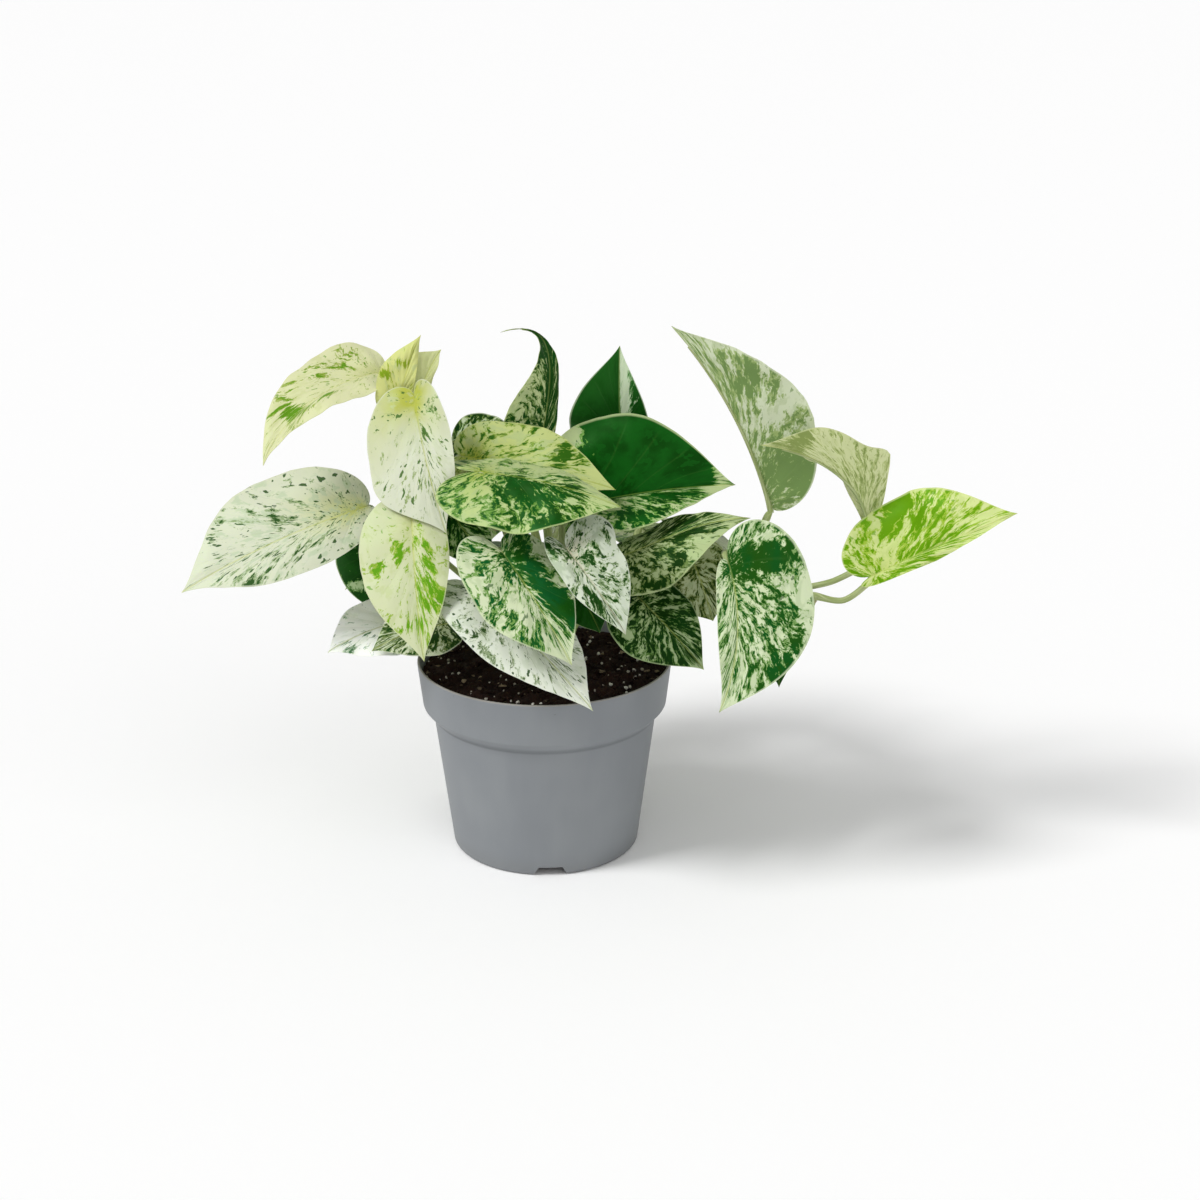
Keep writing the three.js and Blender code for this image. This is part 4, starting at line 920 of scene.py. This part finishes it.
def makeStem(name, seed, finish):
    line = stemLine(name)
    _, run = throughPoints(line, 2)
    share = np.linspace(0, 1, int(run / vine["step"]))
    points, _ = throughPoints(line, share)
    radii = np.full(len(share), vine["radius"])
    radii += vine["unevenness"] * uneven(share * run, 0 * share, seed, 14)
    for leaf in leaves[name]:
        radii += vine["swelling"] * np.exp(-((share - leaf["at"]) * run / vine["ringLength"]) ** 2)
    left = (1 - share) * run
    radii *= np.sqrt(np.clip(1 - (1 - np.clip(left / vine["blunt"], 0, 1)) ** 2, 0.02, 1))
    parts = [tube(points, radii, vine["sides"])]
    chance = np.random.default_rng(seed)
    for leaf in leaves[name]:
        (here, ahead), _ = throughPoints(line, [leaf["at"], min(leaf["at"] + 0.01, 1)])
        if leaf["at"] > 0.99:
            (ahead, here), _ = throughPoints(line, [0.99, 0.97])
        forward = unit(ahead - here)
        away = np.array(leaf["base"], float) - here
        away = -unit(away - forward * away.dot(forward))
        for _ in range(vine["nubs"]):
            turn = chance.uniform(-0.8, 0.8)
            way = unit(away * math.cos(turn) + np.cross(forward, away) * math.sin(turn) - forward * 0.2)
            thick, long = vine["nub"]
            shape = thick * np.array(vine["nubShape"])
            reach = 1 + long / vine["radius"] * chance.uniform(0.2, 0.55)
            steps = np.linspace(0.75, reach, len(shape))
            nub = here - forward * 1.5 + way * (steps * vine["radius"])[:, None]
            parts.append(tube(nub, shape, vine["nubSides"], forward))
    corners, faces, places = [], [], []
    for i, (some, shapes, spread) in enumerate(parts):
        start = sum(len(c) for c in corners)
        faces += [tuple(k + start for k in face) for face in shapes]
        corners.append(some)
        reach = spread[:, 1] if i == 0 else spread[:, 1] * 0
        places.append(np.column_stack([spread[:, 0], reach, np.full(len(spread), seed)]))
    newPiece("vine_" + name, np.vstack(corners), faces, [finish], "stem", "stem_" + name,
             attributes={"place": np.vstack(places)}, sharp=60)


def makeLeaf(stem, number, row, seed, stalk):
    leaf = {**usualBlade, **usualLook, **slotLooks[row["slot"]], **row}
    leaf["veinShare"] = blade["veins"] / midribAt(leaf, 0.0)[4]
    name = f"{stem}_{number}"
    line = stemLine(stem)
    at = leaf["at"]
    (before, foot, after), _ = throughPoints(line, [max(at - 0.004, 0), at, min(at + 0.004, 1)])
    corners, faces, marks = bladeMesh(leaf, seed)
    more, shapes, others = petioleMesh(leaf, foot, unit(after - before), seed)
    finishOf = [0] * len(faces) + [1] * len(shapes)
    faces = faces + [[i + len(corners) for i in face] for face in shapes]
    joined = {key: np.concatenate([marks[key], others[key]]) for key in marks}
    newPiece("pothosLeaf_" + name, np.vstack([corners, more]), faces,
             [leafFinish("marbling_" + name, leaf), stalk],
             "leaf_" + leaf["slot"], "leaf_" + name, finishOf, joined)


vineLook = stalkFinish("greenVineSkin", vine)
stalkLook = stalkFinish("palePetioleSkin", petiole)
seed = 0
for stem in stems:
    makeStem(stem, 100 + len(stem), vineLook)
    for number, row in enumerate(leaves[stem], 1):
        seed += 1
        makeLeaf(stem, number, row, seed, stalkLook)
    print("grown:", stem, len(leaves[stem]), "leaves")

# Studio: a pale floor and soft light from the left, with a weak fill from the front
studio = dict(floor="fefefe", reach=40, world=0.44,
              key=dict(power=2.0, angle=20, way=(0.74, 0.34, -0.85)),
              fill=dict(power=0.66, angle=70, way=(-0.4, 0.8, -0.5)))


def makeStudio():
    reach = studio["reach"]
    mesh = bpy.data.meshes.new("floor")
    corners = [(-reach, -reach, 0), (reach, -reach, 0), (reach, reach, 0), (-reach, reach, 0)]
    mesh.from_pydata(corners, [], [(0, 1, 2, 3)])
    floor = bpy.data.objects.new("floor", mesh)
    scene.collection.objects.link(floor)
    finish, _, _ = newFinish("paleFloor", {"Roughness": 0.9, "Specular IOR Level": 0.1,
                                           "Base Color": colour(studio["floor"])})
    mesh.materials.append(finish)
    for name in ("key", "fill"):
        settings = studio[name]
        light = bpy.data.lights.new(name, "SUN")
        light.energy, light.angle = settings["power"], math.radians(settings["angle"])
        lamp = bpy.data.objects.new(name, light)
        lamp.rotation_euler = Vector(settings["way"]).to_track_quat("-Z", "Y").to_euler()
        scene.collection.objects.link(lamp)
    world = bpy.data.worlds.new("studio")
    world.use_nodes = True
    world.node_tree.nodes["Background"].inputs["Color"].default_value = (1, 1, 1, 1)
    world.node_tree.nodes["Background"].inputs["Strength"].default_value = studio["world"]
    scene.world = world
    scene.view_settings.view_transform = "Standard"


makeStudio()
print("studio lit")
